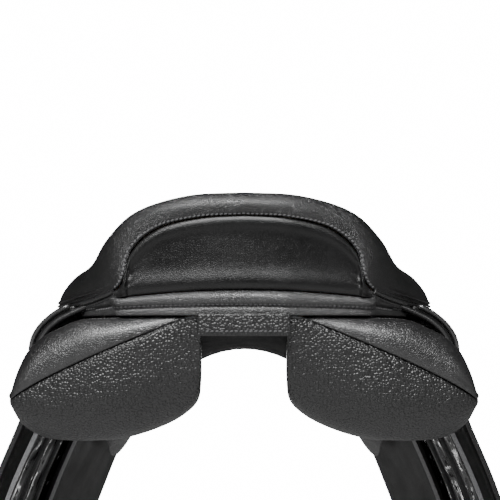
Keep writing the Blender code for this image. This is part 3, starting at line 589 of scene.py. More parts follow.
# Seat
RIM = (
    (0.0, CANTLE_Y, CANTLE_Z),
    (0.046, CANTLE_Y + 0.003, CANTLE_Z - 0.0025),
    (0.088, CANTLE_Y + 0.016, CANTLE_Z - 0.015),
    (0.1125, CANTLE_Y + 0.039, CANTLE_Z - 0.037),
    (0.127, CANTLE_Y + 0.068, CANTLE_Z - 0.058),
    (0.1405, -0.129, 0.138),
    (0.1345, -0.096, 0.131),
    (0.1088, -0.04, 0.127),
    (0.0985, 0.0, 0.127),
    (0.086, 0.05, 0.129),
    (0.0734, 0.1, 0.134),
    (0.0608, 0.15, 0.143),
    (0.0485, 0.19, POMMEL_Z - 0.013),
    (0.028, POMMEL_Y - 0.008, POMMEL_Z - 0.004),
    (0.0, POMMEL_Y, POMMEL_Z),
)
WELT = (
    (0.0, REAR_Y - 0.0035, CANTLE_Z - 0.017),
    (0.036, REAR_Y - 0.0025, CANTLE_Z - 0.0195),
    (0.07, REAR_Y + 0.004, CANTLE_Z - 0.028),
    (0.0925, REAR_Y + 0.01, CANTLE_Z - 0.047),
    (0.1045, REAR_Y + 0.017, FACING_BASE_Z - 0.0005),
    (0.1545, -0.135, 0.1108),
    (0.1385, -0.096, 0.1168),
    (0.1035, -0.04, 0.1125),
    (0.094, 0.0, 0.109),
    (0.082, 0.05, 0.11),
    (0.0695, 0.1, 0.113),
    (0.057, 0.15, 0.121),
    (0.045, 0.188, POMMEL_Z - 0.034),
    (0.027, POMMEL_Y - 0.01, POMMEL_Z - 0.024),
    (0.0, POMMEL_Y - 0.0025, POMMEL_Z - 0.019),
)
SEAT_LINE = (
    (-0.236, CANTLE_Z), (-0.215, 0.18), (-0.19, 0.159), (-0.16, 0.1445), (-0.12, 0.136),
    (-0.06, SEAT_LOW_Z), (0.0, SEAT_LOW_Z + 0.0005), (0.05, 0.138), (0.1, 0.146), (0.15, 0.156),
    (0.19, POMMEL_Z - 0.002), (POMMEL_Y, POMMEL_Z),
)
# The facing's corner is the fifth place of the outlines; its share of the way round
CORNER_PLACE = 4
CORNER = CORNER_PLACE / (len(WELT) - 1)
# The cover's flank above its lower edge: share of the height, and how far the folded lips stand out
FOLDED_EDGE = (
    (0.035, 0.0014), (0.075, 0.0016), (0.105, 0.0001), (0.125, -0.0004), (0.15, 0.0012), (0.19, 0.0014),
    (0.225, 0.0002), (0.28, -0.0003), (0.40, 0.0), (0.6, 0.0), (0.84, 0.0),
)
# Points on half of the seat's outline
HALF = 85
DISH_SHARES = (0.05, 0.10, 0.17, 0.25, 0.34, 0.44, 0.55, 0.66, 0.78, SPINE_END)
# Points on half of the facing's outline, and on the dense lower edge between two of its given places
FACING_COUNT = 400
FACING_CORNER = int(CORNER * (FACING_COUNT - 1))
PER_SPAN = 100
WELT_CORNER = CORNER_PLACE * PER_SPAN
DENSE_WELT = smooth_curve(WELT, (len(WELT) - 1) * PER_SPAN + 1)


def mirrored_ring(points):
    right = smooth_curve(points, HALF)
    left = [Vector((-p.x, p.y, p.z)) for p in reversed(right[1:-1])]
    return right + left


def spine_of(point):
    y = min(max(point.y, CANTLE_Y), POMMEL_Y)
    return Vector((0.0, y * SPINE_SHARE, 0.0))


def outward(point):
    d = point - spine_of(point)
    return Vector((d.x, d.y, 0.0)).normalized()


def dish_ring(rim, share):
    """The rim drawn in by a share of the way to the spine, sunk to the seat's line."""
    ring = []
    for p in rim:
        c = spine_of(p)
        x = p.x + (c.x - p.x) * share
        y = p.y + (c.y - p.y) * share
        drop = (1.0 - share) ** 2.2
        ring.append(Vector((x, y, along(SEAT_LINE, y) * (1.0 - drop) + p.z * drop)))
    return ring


def build_seat():
    """The cover: a turned-in lower edge, the rolled flank and the dish, closed along the spine."""
    rim = mirrored_ring(RIM)
    low = mirrored_ring(WELT)
    inner = [p - outward(r) * COVER_T for p, r in zip(low, rim)]
    rings = [[p + UP * 0.004 for p in inner], inner, low]
    n = len(rim)
    for t, fold in FOLDED_EDGE:
        bulge = SEAT_ROLL * (sin(pi * t) ** 0.7) * 1.12
        ring = []
        for k, (r, p) in enumerate(zip(rim, low)):
            at = min(k, n - k) / (n // 2)
            lip = fold * ease((at - CORNER) / 0.03)
            ring.append(p.lerp(r, t) + outward(r) * (bulge + lip))
        rings.append(ring)
    rings.append([p + UP * 0.0010 for p in dish_ring(rim, 0.008)])
    rings += [dish_ring(rim, share) for share in DISH_SHARES]
    verts = [v for ring in rings for v in ring]
    faces = grid_faces(len(rings), n, True)
    top = (len(rings) - 1) * n
    for i in range(n // 2):
        corners = dict.fromkeys((i, i + 1, (n - i - 1) % n, (n - i) % n))
        faces.append(tuple(top + v for v in corners))
    seat = new_mesh("seat_pad", verts, faces, SEAT, "seat_cover")
    add_subsurf(seat, 2)
    return seat


def mirrored_line(points):
    """A line from the middle outwards, joined to its mirror image."""
    return [Vector((-p.x, p.y, p.z)) for p in reversed(points[1:])] + list(points)


def build_facing():
    """The smooth facing under the cantle: a ridge inside its edge and puckers at its lower corners."""
    rim = smooth_curve(RIM, FACING_COUNT)
    low = smooth_curve(WELT, FACING_COUNT)
    arc = [low[i] - outward(rim[i]) * COVER_T * 0.8 for i in range(0, FACING_CORNER + 5, 3)]
    arc.append(arc[-1] + Vector((0.0008, 0.006, 0.0)))
    arc = mirrored_line(arc)
    rows = 22
    verts = []
    for i in range(rows):
        t = i / (rows - 1)
        for p in arc:
            base = facing_base(p.x) - 0.001
            z = base + (p.z - 0.0004 - base) * t
            from_top = p.z - z
            from_side = abs(abs(p.x) - abs(arc[-1].x)) * 1.2
            from_edge = min(from_top, max(from_side, from_top * 0.5))
            from_low = z - base
            ridge = 0.0020 * hump(from_edge, 0.0060, 0.0055)
            tuck = -0.0007 * hump(from_edge, 0.0, 0.0012)
            corner = ease((abs(p.x) - 0.078) / 0.02) * hump(from_low, 0.010, 0.012)
            pucker = 0.0004 * corner * sin(from_low * 900.0 + abs(p.x) * 500.0)
            lip = 0.0018 * hump(from_low, 0.008, 0.008) - 0.0020 * hump(from_low, 0.0, 0.003)
            verts.append(Vector((p.x, p.y - (ridge + tuck + lip + pucker) - 0.0012, z)))
    rear_sheet("cantle_facing_leather", verts, len(arc), 0.0024, FACING, "cantle_facing")


def strip_path():
    """Plan of the band below the facing from end to end, with its upper edge: x, y and height."""
    xs = [0.098 * k / 50 for k in range(51)]
    half = [(x, rear_y(x) - FIT, facing_base(x) - FIT) for x in xs]
    for k in range(WELT_CORNER, WELT_CORNER + round(PER_SPAN * STRIP_TURN_SHARE) + 1, 3):
        p = DENSE_WELT[k] - outward(DENSE_WELT[k]) * (COVER_T + 2 * FIT)
        rise = ease((k - WELT_CORNER) / 12)
        half.append((p.x, p.y, (facing_base(p.x) - FIT) * (1.0 - rise) + (p.z + STRIP_TUCK) * rise))
    return [(-x, y, z) for x, y, z in reversed(half[1:])] + half


def strip_low(x, y):
    return panel_top(x, y) + 2 * FIT


# The band's section: share of its height, and how far it stands out
STRIP_ROWS = (
    (0.0, 0.0), (0.06, 0.0012), (0.16, 0.0014), (0.30, 0.0014), (0.355, 0.0004), (0.40, 0.0003),
    (0.45, 0.0026), (0.56, 0.0046), (0.70, 0.0054), (0.84, 0.0046), (0.94, 0.0026), (1.0, 0.0002),
)


def build_strip():
    """The soft band below the facing, with a flat hem under its stitching."""
    path = strip_path()
    verts = []
    for t, out in STRIP_ROWS:
        for k, (x, y, high) in enumerate(path):
            a, b = path[max(k - 2, 0)], path[min(k + 2, len(path) - 1)]
            run = Vector((b[0] - a[0], b[1] - a[1])).normalized()
            turned = ease((abs(x) - 0.100) / 0.010)
            low = strip_low(x, y)
            amount = out * (1.0 - 0.75 * turned * ease((t - 0.55) / 0.3)) * (1.0 - 0.4 * turned)
            verts.append(Vector((x + run.y * amount, y - run.x * amount - 0.0004, low + (high - low) * t)))
    return rear_sheet("panel_strip_leather", verts, len(path), 0.0025, STRIP, "panel_rear_strip")


TAB_HALF = 0.0374
TAB_H = 0.0184


def build_tab():
    """The small pebbled piece over the channel's rear end, puffed inside its edge."""
    low = PANEL_TOP_Z + 0.003 - TAB_H
    front = REAR_Y - GUSSET_T - 2 * FIT
    cols, rows = 25, 9
    verts = []
    for i in range(rows):
        for j in range(cols):
            u, v = j / (cols - 1), i / (rows - 1)
            from_edge = min(min(u, 1 - u) * 2 * TAB_HALF, TAB_H * v)
            puff = 0.0012 * ease(from_edge / 0.006)
            verts.append(Vector((TAB_HALF * (2 * u - 1), front - 0.0012 - puff, low + TAB_H * v)))
    return rear_sheet("channel_tab_leather", verts, cols, 0.0018, TAB, "channel_tab")


# Cloth
SWELL_FRAMES = 20
CLOTH = {
    "quality": 6, "mass": 0.3, "tension_stiffness": 12.0, "compression_stiffness": 12.0,
    "shear_stiffness": 4.0, "bending_stiffness": 0.4, "use_pressure": True,
    "uniform_pressure_force": 4.0, "vertex_group_mass": "held",
}


def swell(name, points, faces, held, cap, outside=None):
    """Lets a skin fill out as cloth under pressure; a point moves at most `cap` from its place."""
    mesh = outward_mesh(name, points, faces, outside)
    skin = new_object(name, mesh)
    group = skin.vertex_groups.new(name="held")
    for i, weight in enumerate(held):
        group.add([i], weight, "REPLACE")
    cloth = skin.modifiers.new("cloth", "CLOTH")
    for key, value in CLOTH.items():
        setattr(cloth.settings, key, value)
    cloth.settings.effector_weights.gravity = 0.0
    scene = bpy.context.scene
    for number in range(1, SWELL_FRAMES + 1):
        scene.frame_set(number)
    done = skin.evaluated_get(bpy.context.evaluated_depsgraph_get())
    moved = [Vector(v.co) for v in done.data.vertices]
    scene.frame_set(1)
    bpy.data.objects.remove(skin)
    bpy.data.meshes.remove(mesh)
    out = []
    for start, end, limit in zip(points, moved, cap):
        step = end - start
        if step.length > limit:
            step *= limit / step.length
        out.append(start + step)
    return out


def normals_of(points, faces):
    mesh = outward_mesh("normals", points, faces)
    work = bmesh.new()
    work.from_mesh(mesh)
    work.normal_update()
    found = [Vector(v.normal) for v in work.verts]
    work.free()
    bpy.data.meshes.remove(mesh)
    return found


# Panels
# A section: y, how far it bows back, low and inner heights, depth of the belly, outer and inner tops
PANEL_SECTIONS = (
    (REAR_Y, 1.0, 0.037, 0.1025, 0.0015, 0.0975, PANEL_TOP_Z),
    (REAR_Y + 0.005, 1.0, 0.035, 0.0860, 0.0110, 0.0970, PANEL_TOP_Z),
    (REAR_Y + 0.014, 1.0, 0.034, 0.0670, 0.0240, 0.0960, PANEL_TOP_Z),
    (REAR_Y + 0.028, 1.0, 0.033, 0.0540, 0.0360, 0.0950, 0.1060),
    (REAR_Y + 0.050, 0.85, 0.032, 0.0480, 0.0400, 0.0945, 0.1040),
    (-0.140, 0.5, 0.031, 0.0470, 0.0370, 0.0940, 0.1000),
    (-0.090, 0.1, 0.030, 0.0480, 0.0330, 0.0930, 0.0970),
    (-0.040, 0.0, 0.028, 0.0500, 0.0290, 0.0920, 0.0955),
    (0.010, 0.0, 0.024, 0.0530, 0.0250, 0.0910, 0.0955),
    (0.060, 0.0, 0.010, 0.0570, 0.0200, 0.0880, 0.0960),
    (0.100, 0.0, -0.010, 0.0620, 0.0150, 0.0840, 0.0960),
    (0.130, 0.0, -0.030, 0.0640, 0.0120, 0.0720, 0.0900),
    (0.160, 0.0, -0.040, 0.0650, 0.0090, 0.0700, 0.0880),
    (0.182, 0.0, -0.036, 0.0670, 0.0060, 0.0690, 0.0870),
    (0.195, 0.0, -0.022, 0.0690, 0.0030, 0.0660, 0.0860),
    (PANEL_FRONT_Y, 0.0, -0.004, 0.0700, 0.0010, 0.0630, 0.0840),
)
POCKET = ((0.085, 0.0), (0.125, 1.0))
POINT_POCKET = 0.0125
SEAM_END = 0.945
SEAM_BOW = 1.10
PANEL_EASE = 0.0006
LOW_BULGE = 0.16
# Places in a section's ring: top of the wall, the rear seam's two ends, and the end of the arch's pocket
WALL_AT = 9
SEAM_OUT = 23
SEAM_IN = 54
POCKET_END = 36


def side_x(z, y):
    inset = PANEL_EASE + POINT_POCKET * along(POCKET, y)
    return (r_at_height(round(z * 2000) / 2000) - inset - y * sin(TOE_IN)) / cos(TOE_IN)


def panel_ring(y, side):
    """One section of a panel: top, outer wall, belly and inner wall, from the inner top corner."""
    bow, low_z, inner_z, belly, outer_top, inner_top = [
        along([(s[0], s[k]) for s in PANEL_SECTIONS], y) for k in range(1, 7)]
    half = channel_half(y)
    rear = 1.0 - ease((y + 0.19) / 0.07)
    full = 1.0 - ease((y + 0.10) / 0.12)
    inner_z -= 0.009 * full * ease((y - REAR_Y) / 0.03)
    near_seam = exp(-(y - REAR_Y) / 0.0035)

    def wall(z):
        x = side_x(z, y)
        for _ in range(4):
            x = side_x(z, y + bow * sweep_back(x))
        t = (z - low_z) / (outer_top - low_z)
        up = LOW_BULGE * full + (1.0 - LOW_BULGE * full) * min(max(t, 0.0), 1.0)
        swollen = 0.0045 + 0.0040 * full + 0.0060 * hump(y - REAR_Y, 0.024, 0.018)
        return x + swollen * rear * sin(pi * up) ** (0.8 - 0.3 * full)

    ring = []
    outer = wall(outer_top)
    for i in range(10):
        t = i / 10
        x = half + (outer - half) * t
        z = inner_top + (outer_top - inner_top) * t + 0.002 * rear * sin(pi * t)
        back = y + bow * sweep_back(x)
        level = panel_top(x, back) - 0.0004 - 0.0025 * ease((t - 0.8) / 0.2)
        ring.append((x, z + max(0.0, level - z) * rear))
    for i in range(15):
        z = outer_top + (low_z - outer_top) * i / 14
        ring.append((wall(z), z))
    ox = ring[-1][0]
    for i in range(1, 30):
        t = 1.0 - (1.0 - i / 30) ** 1.25
        x = ox + (half - ox) * t ** (1.0 + 0.3 * full)
        z = low_z + (inner_z - low_z) * t
        sag = belly * (1.0 - 0.09 * full) * sin(pi * t ** 0.85) ** (0.8 - 0.26 * full)
        z = max(z - sag, min(z, 0.0022))
        seam_z = low_z + (inner_top + 0.0004 - low_z) * min(1.0, t / SEAM_END) ** SEAM_BOW
        ring.append((x, z + (seam_z - z) * near_seam))
    for i in range(7):
        t = i / 7
        ring.append((half, inner_z + (inner_top - inner_z) * t))
    return [Vector((side * x, y + bow * sweep_back(x), z)) for x, z in ring]


PANEL_STOPS = (0.0, 0.0012, 0.003, 0.0055, 0.009, 0.0135, 0.019, 0.026, 0.034, 0.044, 0.056, 0.070, 0.085)
GUSSET_STEPS = 14
SHRINK = 0.0012
NOSE = 0.0125
NOSE_PUFF = 0.0095
PANEL_MOVE = 0.0055
TOP_MOVE = 0.0026
GUSSET_MOVE = 0.0018


def nose(edge, side):
    """How far the seam of the padded rear end stands behind its flat outline, at a place across it."""
    low = [(side * p.x, p.z) for p in edge[SEAM_OUT:SEAM_IN + 1]]
    reach = max(side * p.x for p in edge)

    def back(x):
        x = side * x
        below = low[0][1]
        for a, b in zip(low, low[1:]):
            if b[0] <= x <= a[0]:
                below = b[1] + (a[1] - b[1]) * (x - b[0]) / max(a[0] - b[0], 1e-6)
        tall = max(panel_top(x, rear_y(x)) - below, 1e-4)
        far = 1.0 - min(max((reach - x) / 0.026, 0.0), 1.0)
        return NOSE * ease(tall / 0.030) * sqrt(max(0.0, 1.0 - far * far))

    return back


def panel_rings(side):
    ys = [REAR_Y + s for s in PANEL_STOPS]
    while ys[-1] < PANEL_FRONT_Y - 0.020:
        ys.append(ys[-1] + 0.010)
    ys += [PANEL_FRONT_Y - 0.010, PANEL_FRONT_Y - 0.004, PANEL_FRONT_Y]
    rings = [panel_ring(y, side) for y in ys]
    edge = [p.copy() for p in rings[0]]
    back = nose(edge, side)
    for ring, y in zip(rings, ys):
        away = y - REAR_Y
        fade = (1.0 + 0.45 * ease(away / 0.009)) * exp(-max(0.0, away - 0.012) / 0.026)
        for i in range(SEAM_OUT, SEAM_IN + 1):
            ring[i].y -= back(edge[i].x) * fade
    return rings


def holds(rings):
    """How firmly each point of a panel is held where its neighbours are, and how far it may move."""
    n = len(rings[0])
    held, cap = [], []
    for k, ring in enumerate(rings):
        for i, p in enumerate(ring):
            front = ease((p.y + 0.13) / 0.05)
            on_top = i < WALL_AT or i > n - 3
            on_wall = WALL_AT <= i < SEAM_OUT
            held.append(1.0 if k == 0 or on_top else (0.9 * front if on_wall else 0.0))
            limit = PANEL_MOVE - (0.0035 * front if on_wall else 0.0)
            if WALL_AT <= i < POCKET_END:
                limit = min(limit, PANEL_MOVE - 0.0053 * ease((p.y - 0.07) / 0.05))
            cap.append(min(limit, TOP_MOVE) if i >= SEAM_IN - 1 or on_top else limit)
    return held, cap


def evened(moves, rows, n):
    """Each move, blended four times with those of its neighbours."""
    for _ in range(4):
        blended = []
        for k in range(rows):
            behind, ahead = max(k - 1, 0) * n, min(k + 1, rows - 1) * n
            for i in range(n):
                near = (k * n + (i + 1) % n, k * n + i - 1, behind + i, ahead + i)
                blended.append(moves[k * n + i] * 0.4 + sum((moves[v] for v in near), Vector()) * 0.15)
        moves = blended
    return moves


def build_panel(side, tag):
    """A panel's pebbled skin, closed at both ends, filled out and drawn in at its rear seam."""
    rings = panel_rings(side)
    n = len(rings[0])
    points = [v for ring in rings for v in ring]
    faces = grid_faces(len(rings), n, True)
    last = (len(rings) - 1) * n
    faces.append(tuple(range(last, last + n)))
    faces.append(tuple(reversed(range(n))))
    held, cap = holds(rings)
    slim = [p - nrm * (SHRINK if h < 0.99 else SHRINK * 0.2)
            for p, nrm, h in zip(points, normals_of(points, faces), held)]
    full = swell("skin_" + tag, slim, faces, held, cap)
    moves = evened([end - start for start, end in zip(points, full)], len(rings), n)
    full = [start + move for start, move in zip(points, moves)]

    # The seam gathers the pebbled side into small folds
    normals = normals_of(full, faces)
    shaped = []
    for k in range(len(rings)):
        for i in range(n):
            p = full[k * n + i]
            if k <= 6 and SEAM_OUT < i <= SEAM_IN:
                reach = (rings[0][i] - rings[k][i]).length
                fold = sin(i * 2.9 + side * 0.7) * 0.6 + sin(i * 1.7 + 1.3) * 0.4
                p = p + normals[k * n + i] * (0.0017 * hump(reach, 0.007, 0.006) * (1.0 + 0.7 * fold))
            if k == 0:
                p = p + FORWARD * 0.0026
            if i >= SEAM_IN:
                p.x = side * min(side * p.x, channel_half(p.y))
            shaped.append(p)
    panel = new_mesh("panel_pad_" + tag, shaped, faces, PEBBLE, "panel_" + tag)
    add_subsurf(panel)
    return shaped[:n]


def build_gusset(end, tag):
    """The smooth gusset, from the seam to the top and outer edges of its panel's rear end."""
    seam = [end[i] - FORWARD * 0.0004 for i in range(SEAM_IN, SEAM_OUT - 1, -1)]
    rim = end[:SEAM_OUT + 1]
    reach, rim_reach = reach_along(seam), reach_along(rim)
    uppers = [place_at(rim, rim_reach, r / reach[-1] * rim_reach[-1])[0] for r in reach]
    rows, cols = GUSSET_STEPS + 1, len(seam)
    verts = []
    for row in range(rows):
        u = row / GUSSET_STEPS
        for low, top in zip(seam, uppers):
            p = low.lerp(top, u)
            puff = ease((top - low).length / 0.045) * NOSE_PUFF * sin(pi * u) ** 0.8
            verts.append(Vector((p.x, p.y - puff, p.z + 0.35 * puff)))
    faces = grid_faces(rows, cols)
    held = [float(row in (0, rows - 1) or col in (0, cols - 1)) for row in range(rows) for col in range(cols)]
    verts = swell("gusset_skin_" + tag, verts, faces, held, [GUSSET_MOVE] * len(verts), -FORWARD)
    gusset = new_mesh("rear_gusset_pad_" + tag, verts, faces, SMOOTH, "rear_gusset_" + tag)
    thicken(gusset, 0.0015, FORWARD, even=False)
    add_subsurf(gusset)


# Layers of the sides
# Each outline: places of the rear edge and of the front edge at distances down the profile
FLAP = (
    ((0.01, -0.2), (0.04, -0.188), (0.08, -0.138), (0.12, -0.118), (0.2, -0.111),
     (0.28, -0.11), (0.34, -0.104), (0.385, -0.068), (0.41, -0.022), (0.4225, 0.022)),
    ((0.01, 0.156), (0.04, 0.174), (0.09, 0.198), (0.15, 0.215), (0.21, 0.216),
     (0.27, 0.2), (0.33, 0.172), (0.38, 0.13), (0.41, 0.085), (0.4225, 0.05)),
)
SWEAT_FLAP = (
    ((0.012, -0.12), (0.045, -0.06), (0.09, -0.01), (0.16, 0.005), (0.26, 0.0),
     (0.33, 0.005), (0.38, 0.03), (0.405, 0.06)),
    ((0.012, 0.135), (0.06, 0.165), (0.13, 0.19), (0.2, 0.192), (0.26, 0.178),
     (0.33, 0.15), (0.38, 0.115), (0.405, 0.08)),
)
SKIRT = (
    ((0.0036, -0.046), (0.024, -0.112), (0.04, -0.105), (0.056, -0.068), (0.068, -0.01)),
    ((0.0036, 0.16), (0.024, 0.182), (0.04, 0.18), (0.056, 0.156), (0.068, 0.105)),
)
BLOCK = (
    ((0.085, 0.12), (0.15, 0.138), (0.22, 0.132), (0.27, 0.12)),
    ((0.085, 0.14), (0.15, 0.178), (0.22, 0.178), (0.27, 0.14)),
)
BLOCK_H = 0.0105
BLOCK_LIFT = SWEAT_FLAP_T + 0.0002
SHEET_COLS = 28
# The opening in the flap's top round the stirrup bar: reach outwards, its two ends and their columns
NOTCH_R = 0.115
NOTCH_REAR_L = 0.006
NOTCH_FRONT_L = 0.121
NOTCH_COLS = (16, 25)
EDGE_POINTS = 160


def side_sheet(name, side, ends, outline, offset, thick, mat, nodes, body="saddle", step=0.004, notch=None):
    """A sheet of leather on a side between two distances down it; `notch` is how deep its opening goes."""
    s_from, s_to = ends
    rows = max(4, round((s_to - s_from) / step))
    stops = [s_from + (s_to - s_from) * i / rows for i in range(rows + 1)]
    faces = grid_faces(rows + 1, SHEET_COLS + 1)
    one, two = NOTCH_COLS
    if notch:
        deep = min(range(rows), key=lambda i: abs(stops[i] - notch))
        stops[deep] = notch
        faces = [f for k, f in enumerate(faces) if k // SHEET_COLS >= deep or not one <= k % SHEET_COLS < two]
    verts = []
    for s in stops:
        places = [(0, along(outline[0], s)), (SHEET_COLS, along(outline[1], s))]
        if notch:
            places[1:1] = [(one, NOTCH_REAR_L), (two, NOTCH_FRONT_L)]
        for j in range(SHEET_COLS + 1):
            (j0, l0), (j1, l1) = next(pair for pair in zip(places, places[1:]) if j <= pair[1][0])
            verts.append(on_side(side, s, l0 + (l1 - l0) * (j - j0) / (j1 - j0), offset))
    obj = new_mesh(name, verts, faces, mat, nodes, body)
    thicken(obj, thick, Vector((side, 0.0, 0.0)))
    add_bevel(obj, thick * 0.3, 3)
    return obj


def notch_depth():
    """How far down its profile the flap's top is cut out around the stirrup bar."""
    s = FLAP_TOP_S
    while profile(s, flap_offset).x < NOTCH_R:
        s += 0.0002
    return s


def edge_line(side, ends, outline, offset, inset):
    """A line that keeps `inset` inside a sheet's outline, on its face at `offset`."""
    top, low = ends[0] + inset, ends[1] - inset
    down, up = [], []
    for i in range(EDGE_POINTS):
        s = top + (low - top) * i / (EDGE_POINTS - 1)
        down.append(on_side(side, s, along(outline[0], s) + inset, offset))
        up.append(on_side(side, s, along(outline[1], s) - inset, offset))
    return down + up[::-1]


def build_side(side, tag):
    """The leather layers of one side; the flap and the skirt come back for their stitching."""
    side_sheet("sweat_flap_leather_" + tag, side, (0.012, 0.405), SWEAT_FLAP, 0.0, SWEAT_FLAP_T, SWEAT_LOOK,
               "sweat_flap_" + tag)
    side_sheet("flap_top_leather_" + tag, side, (FLAP_TOP_S, FOLD_S - FIT), FLAP, flap_offset, FLAP_T,
               FLAP_LOOK, "flap_root_" + tag, step=0.003, notch=notch_depth())
    flap = side_sheet("flap_leather_" + tag, side, (FOLD_S + FIT, S_LAST), FLAP, flap_offset, FLAP_T,
                      FLAP_LOOK, "flap_" + tag, "flap_body_" + tag)
    skirt = side_sheet("skirt_leather_" + tag, side, (SKIRT_TOP_S, SKIRT_END_S), SKIRT, skirt_offset, SKIRT_T,
                       SKIRT_LOOK, "skirt_" + tag, "skirt_body_" + tag, 0.003)
    for k, word in enumerate(STRAPS):
        build_strap(side, tag, k, word)
    build_band(side, tag)
    build_block(side, tag)
    return flap, skirt


def build_block(side, tag):
    """The padded block in front of the rider's knee, drawn down round its edge."""
    rows, cols = 44, 13
    low, high = BLOCK[0][0][0], BLOCK[0][-1][0]
    verts = []
    for i in range(rows + 1):
        s = low + (high - low) * i / rows
        near = min(s - low, high - s)
        end = sqrt(1.0 - (1.0 - min(1.0, near / 0.012)) ** 2)
        a, b = along(BLOCK[0], s), along(BLOCK[1], s)
        middle, half = (a + b) / 2, (b - a) / 2 * (0.25 + 0.75 * end)
        tall = BLOCK_H * min(1.0, 0.35 + 4.0 * near / (high - low))
        over, under = [], []
        for j in range(cols + 1):
            u = j / cols
            dome = (0.06 + 0.94 * end * sin(pi * u) ** 0.45) if 0 < j < cols else 0.0
            l = middle + half * (2 * u - 1)
            over.append(on_side(side, s, l, BLOCK_LIFT + tall * dome))
            under.append(on_side(side, s, l, BLOCK_LIFT))
        verts += over + under[::-1]
    around = 2 * (cols + 1)
    faces = grid_faces(rows + 1, around, True)
    for first in (0, rows * around):
        last = first + around - 1
        faces += [(first + j, first + j + 1, last - j - 1, last - j) for j in range(cols)]
    block = new_mesh("knee_block_pad_" + tag, verts, faces, BLOCK_LOOK, "knee_block_" + tag)
    add_subsurf(block)


STRAP_STEP = 0.00318
STRAP_HOLE_R = 0.0026
STRAP_HOLE_PITCH = 0.0254
STRAP_HOLES = 12
# Shares of half the width, and the groove's depth at some of them; the holes are at the middle column
STRAP_ACROSS = (-1, -0.93, -0.86, -0.78, -0.45, -0.19, -0.095, 0, 0.095, 0.19, 0.45, 0.78, 0.86, 0.93, 1)
STRAP_GROOVE = {2: -0.0004, 12: -0.0004}
STRAP_MIDDLE = 7


def build_strap(side, tag, k, word):
    """One girth strap: a flat polished strip with punched holes and a groove beside each edge."""
    middle = STRAP_FRONT_L - k * STRAP_PITCH
    rows = round((STRAP_END_S - STRAP_TOP_S) / STRAP_STEP)
    centres = [STRAP_END_S - 0.030 - STRAP_HOLE_PITCH * h for h in range(STRAP_HOLES)]
    stops = [STRAP_TOP_S + (STRAP_END_S - STRAP_TOP_S) * i / rows for i in range(rows + 1)]
    for c in centres:
        near = min(range(1, rows), key=lambda i: abs(stops[i] - c))
        stops[near - 1:near + 2] = [c - STRAP_HOLE_R * 0.98, c, c + STRAP_HOLE_R * 0.98]
    cols = len(STRAP_ACROSS)
    verts, holes = [], set()
    for i, s in enumerate(stops):
        tip = max(0.0, s - (STRAP_END_S - 0.014)) / 0.014
        half = STRAP_W / 2 * sqrt(max(0.0, 1.0 - 0.93 * tip * tip))
        c = min(centres, key=lambda v: abs(s - v))
        for j, share in enumerate(STRAP_ACROSS):
            off, at = share * half, s
            from_middle = j - STRAP_MIDDLE
            if abs(s - c) < STRAP_HOLE_R * 1.2 and abs(from_middle) <= 1:
                level = abs(s - c) < 1e-6
                off = from_middle * STRAP_HOLE_R * (1.0 if level else 0.70)
                at = c + (s - c) * (0.72 if from_middle else 1.0)
                if level and not from_middle:
                    holes.add(i * cols + j)
            verts.append(on_side(side, at, middle + off, SWEAT_FLAP_T + LAYER_GAP + STRAP_GROOVE.get(j, 0.0)))
    faces = [f for f in grid_faces(len(stops), cols) if not holes & set(f)]
    obj = new_mesh(f"girth_strap_leather_{word}_{tag}", verts, faces, STRAP_LOOK,
                   f"girth_strap_{word}_{tag}", f"girth_strap_{word}_body_{tag}")
    sheet = thicken(obj, STRAP_T, Vector((side, 0.0, 0.0)), even=False)
    sheet.material_offset_rim = 1
    add_bevel(obj, 0.0007, 2)
    obj.data.materials.append(BAND if word == "rear" else EDGE)


BAND_W = 0.0130
BAND_ENDS = (0.030, 0.398)


def build_band(side, tag):
    """The light stitched binding on the sweat flap's rear edge."""
    rows, cols = 100, 7
    verts = []
    for i in range(rows + 1):
        s = BAND_ENDS[0] + (BAND_ENDS[1] - BAND_ENDS[0]) * i / rows
        rear = along(SWEAT_FLAP[0], s)
        slope = (along(SWEAT_FLAP[0], s + 0.002) - along(SWEAT_FLAP[0], s - 0.002)) / 0.004
        wide = BAND_W * sqrt(1.0 + slope * slope)
        for j in range(cols):
            u = j / (cols - 1)
            verts.append(on_side(side, s, rear + 0.0006 + wide * u, -0.0002 - 0.0008 * sin(pi * u) ** 0.5))
    new_mesh("sweat_flap_binding_" + tag, verts, grid_faces(rows + 1, cols), BAND)


# Each bead: its end on the flank, then outwards, lift, radius and distance from the flap's inner face
BEADS = {
    "upper": (478, 0.0012, -0.0008, 0.0024, FLAP_T + 0.0004),
    "lower": (452, -0.0012, -0.0034, 0.0026, -0.0015),
}


def edge_beads(side, tag):
    """The two folded edges from the facing's corner along the flank and down the flap's rear edge."""
    for word, (last, out, lift, radius, off) in BEADS.items():
        points = []
        for k in range(WELT_CORNER + 2, last, 6):
            p = DENSE_WELT[k] + outward(DENSE_WELT[k]) * (out - COVER_T * 0.5) + UP * lift
            points.append(Vector((side * p.x, p.y, p.z)))
        for s in (0.012, 0.018, 0.025, 0.034, 0.043, 0.052, 0.061, 0.070, 0.077):
            points.append(on_side(side, s, along(FLAP[0], s) - 0.0008, flap_offset(s) + off))
        tube(f"edge_bead_{word}_{tag}", smooth_curve(points, 110), radius, BEAD, "saddle")


seat = build_seat()
build_facing()
strip = build_strip()
tab = build_tab()
layers = {}
for hand, word in SIDES:
    build_gusset(build_panel(hand, word), word)
    layers[word] = build_side(hand, word)
for hand, word in SIDES:
    edge_beads(hand, word)

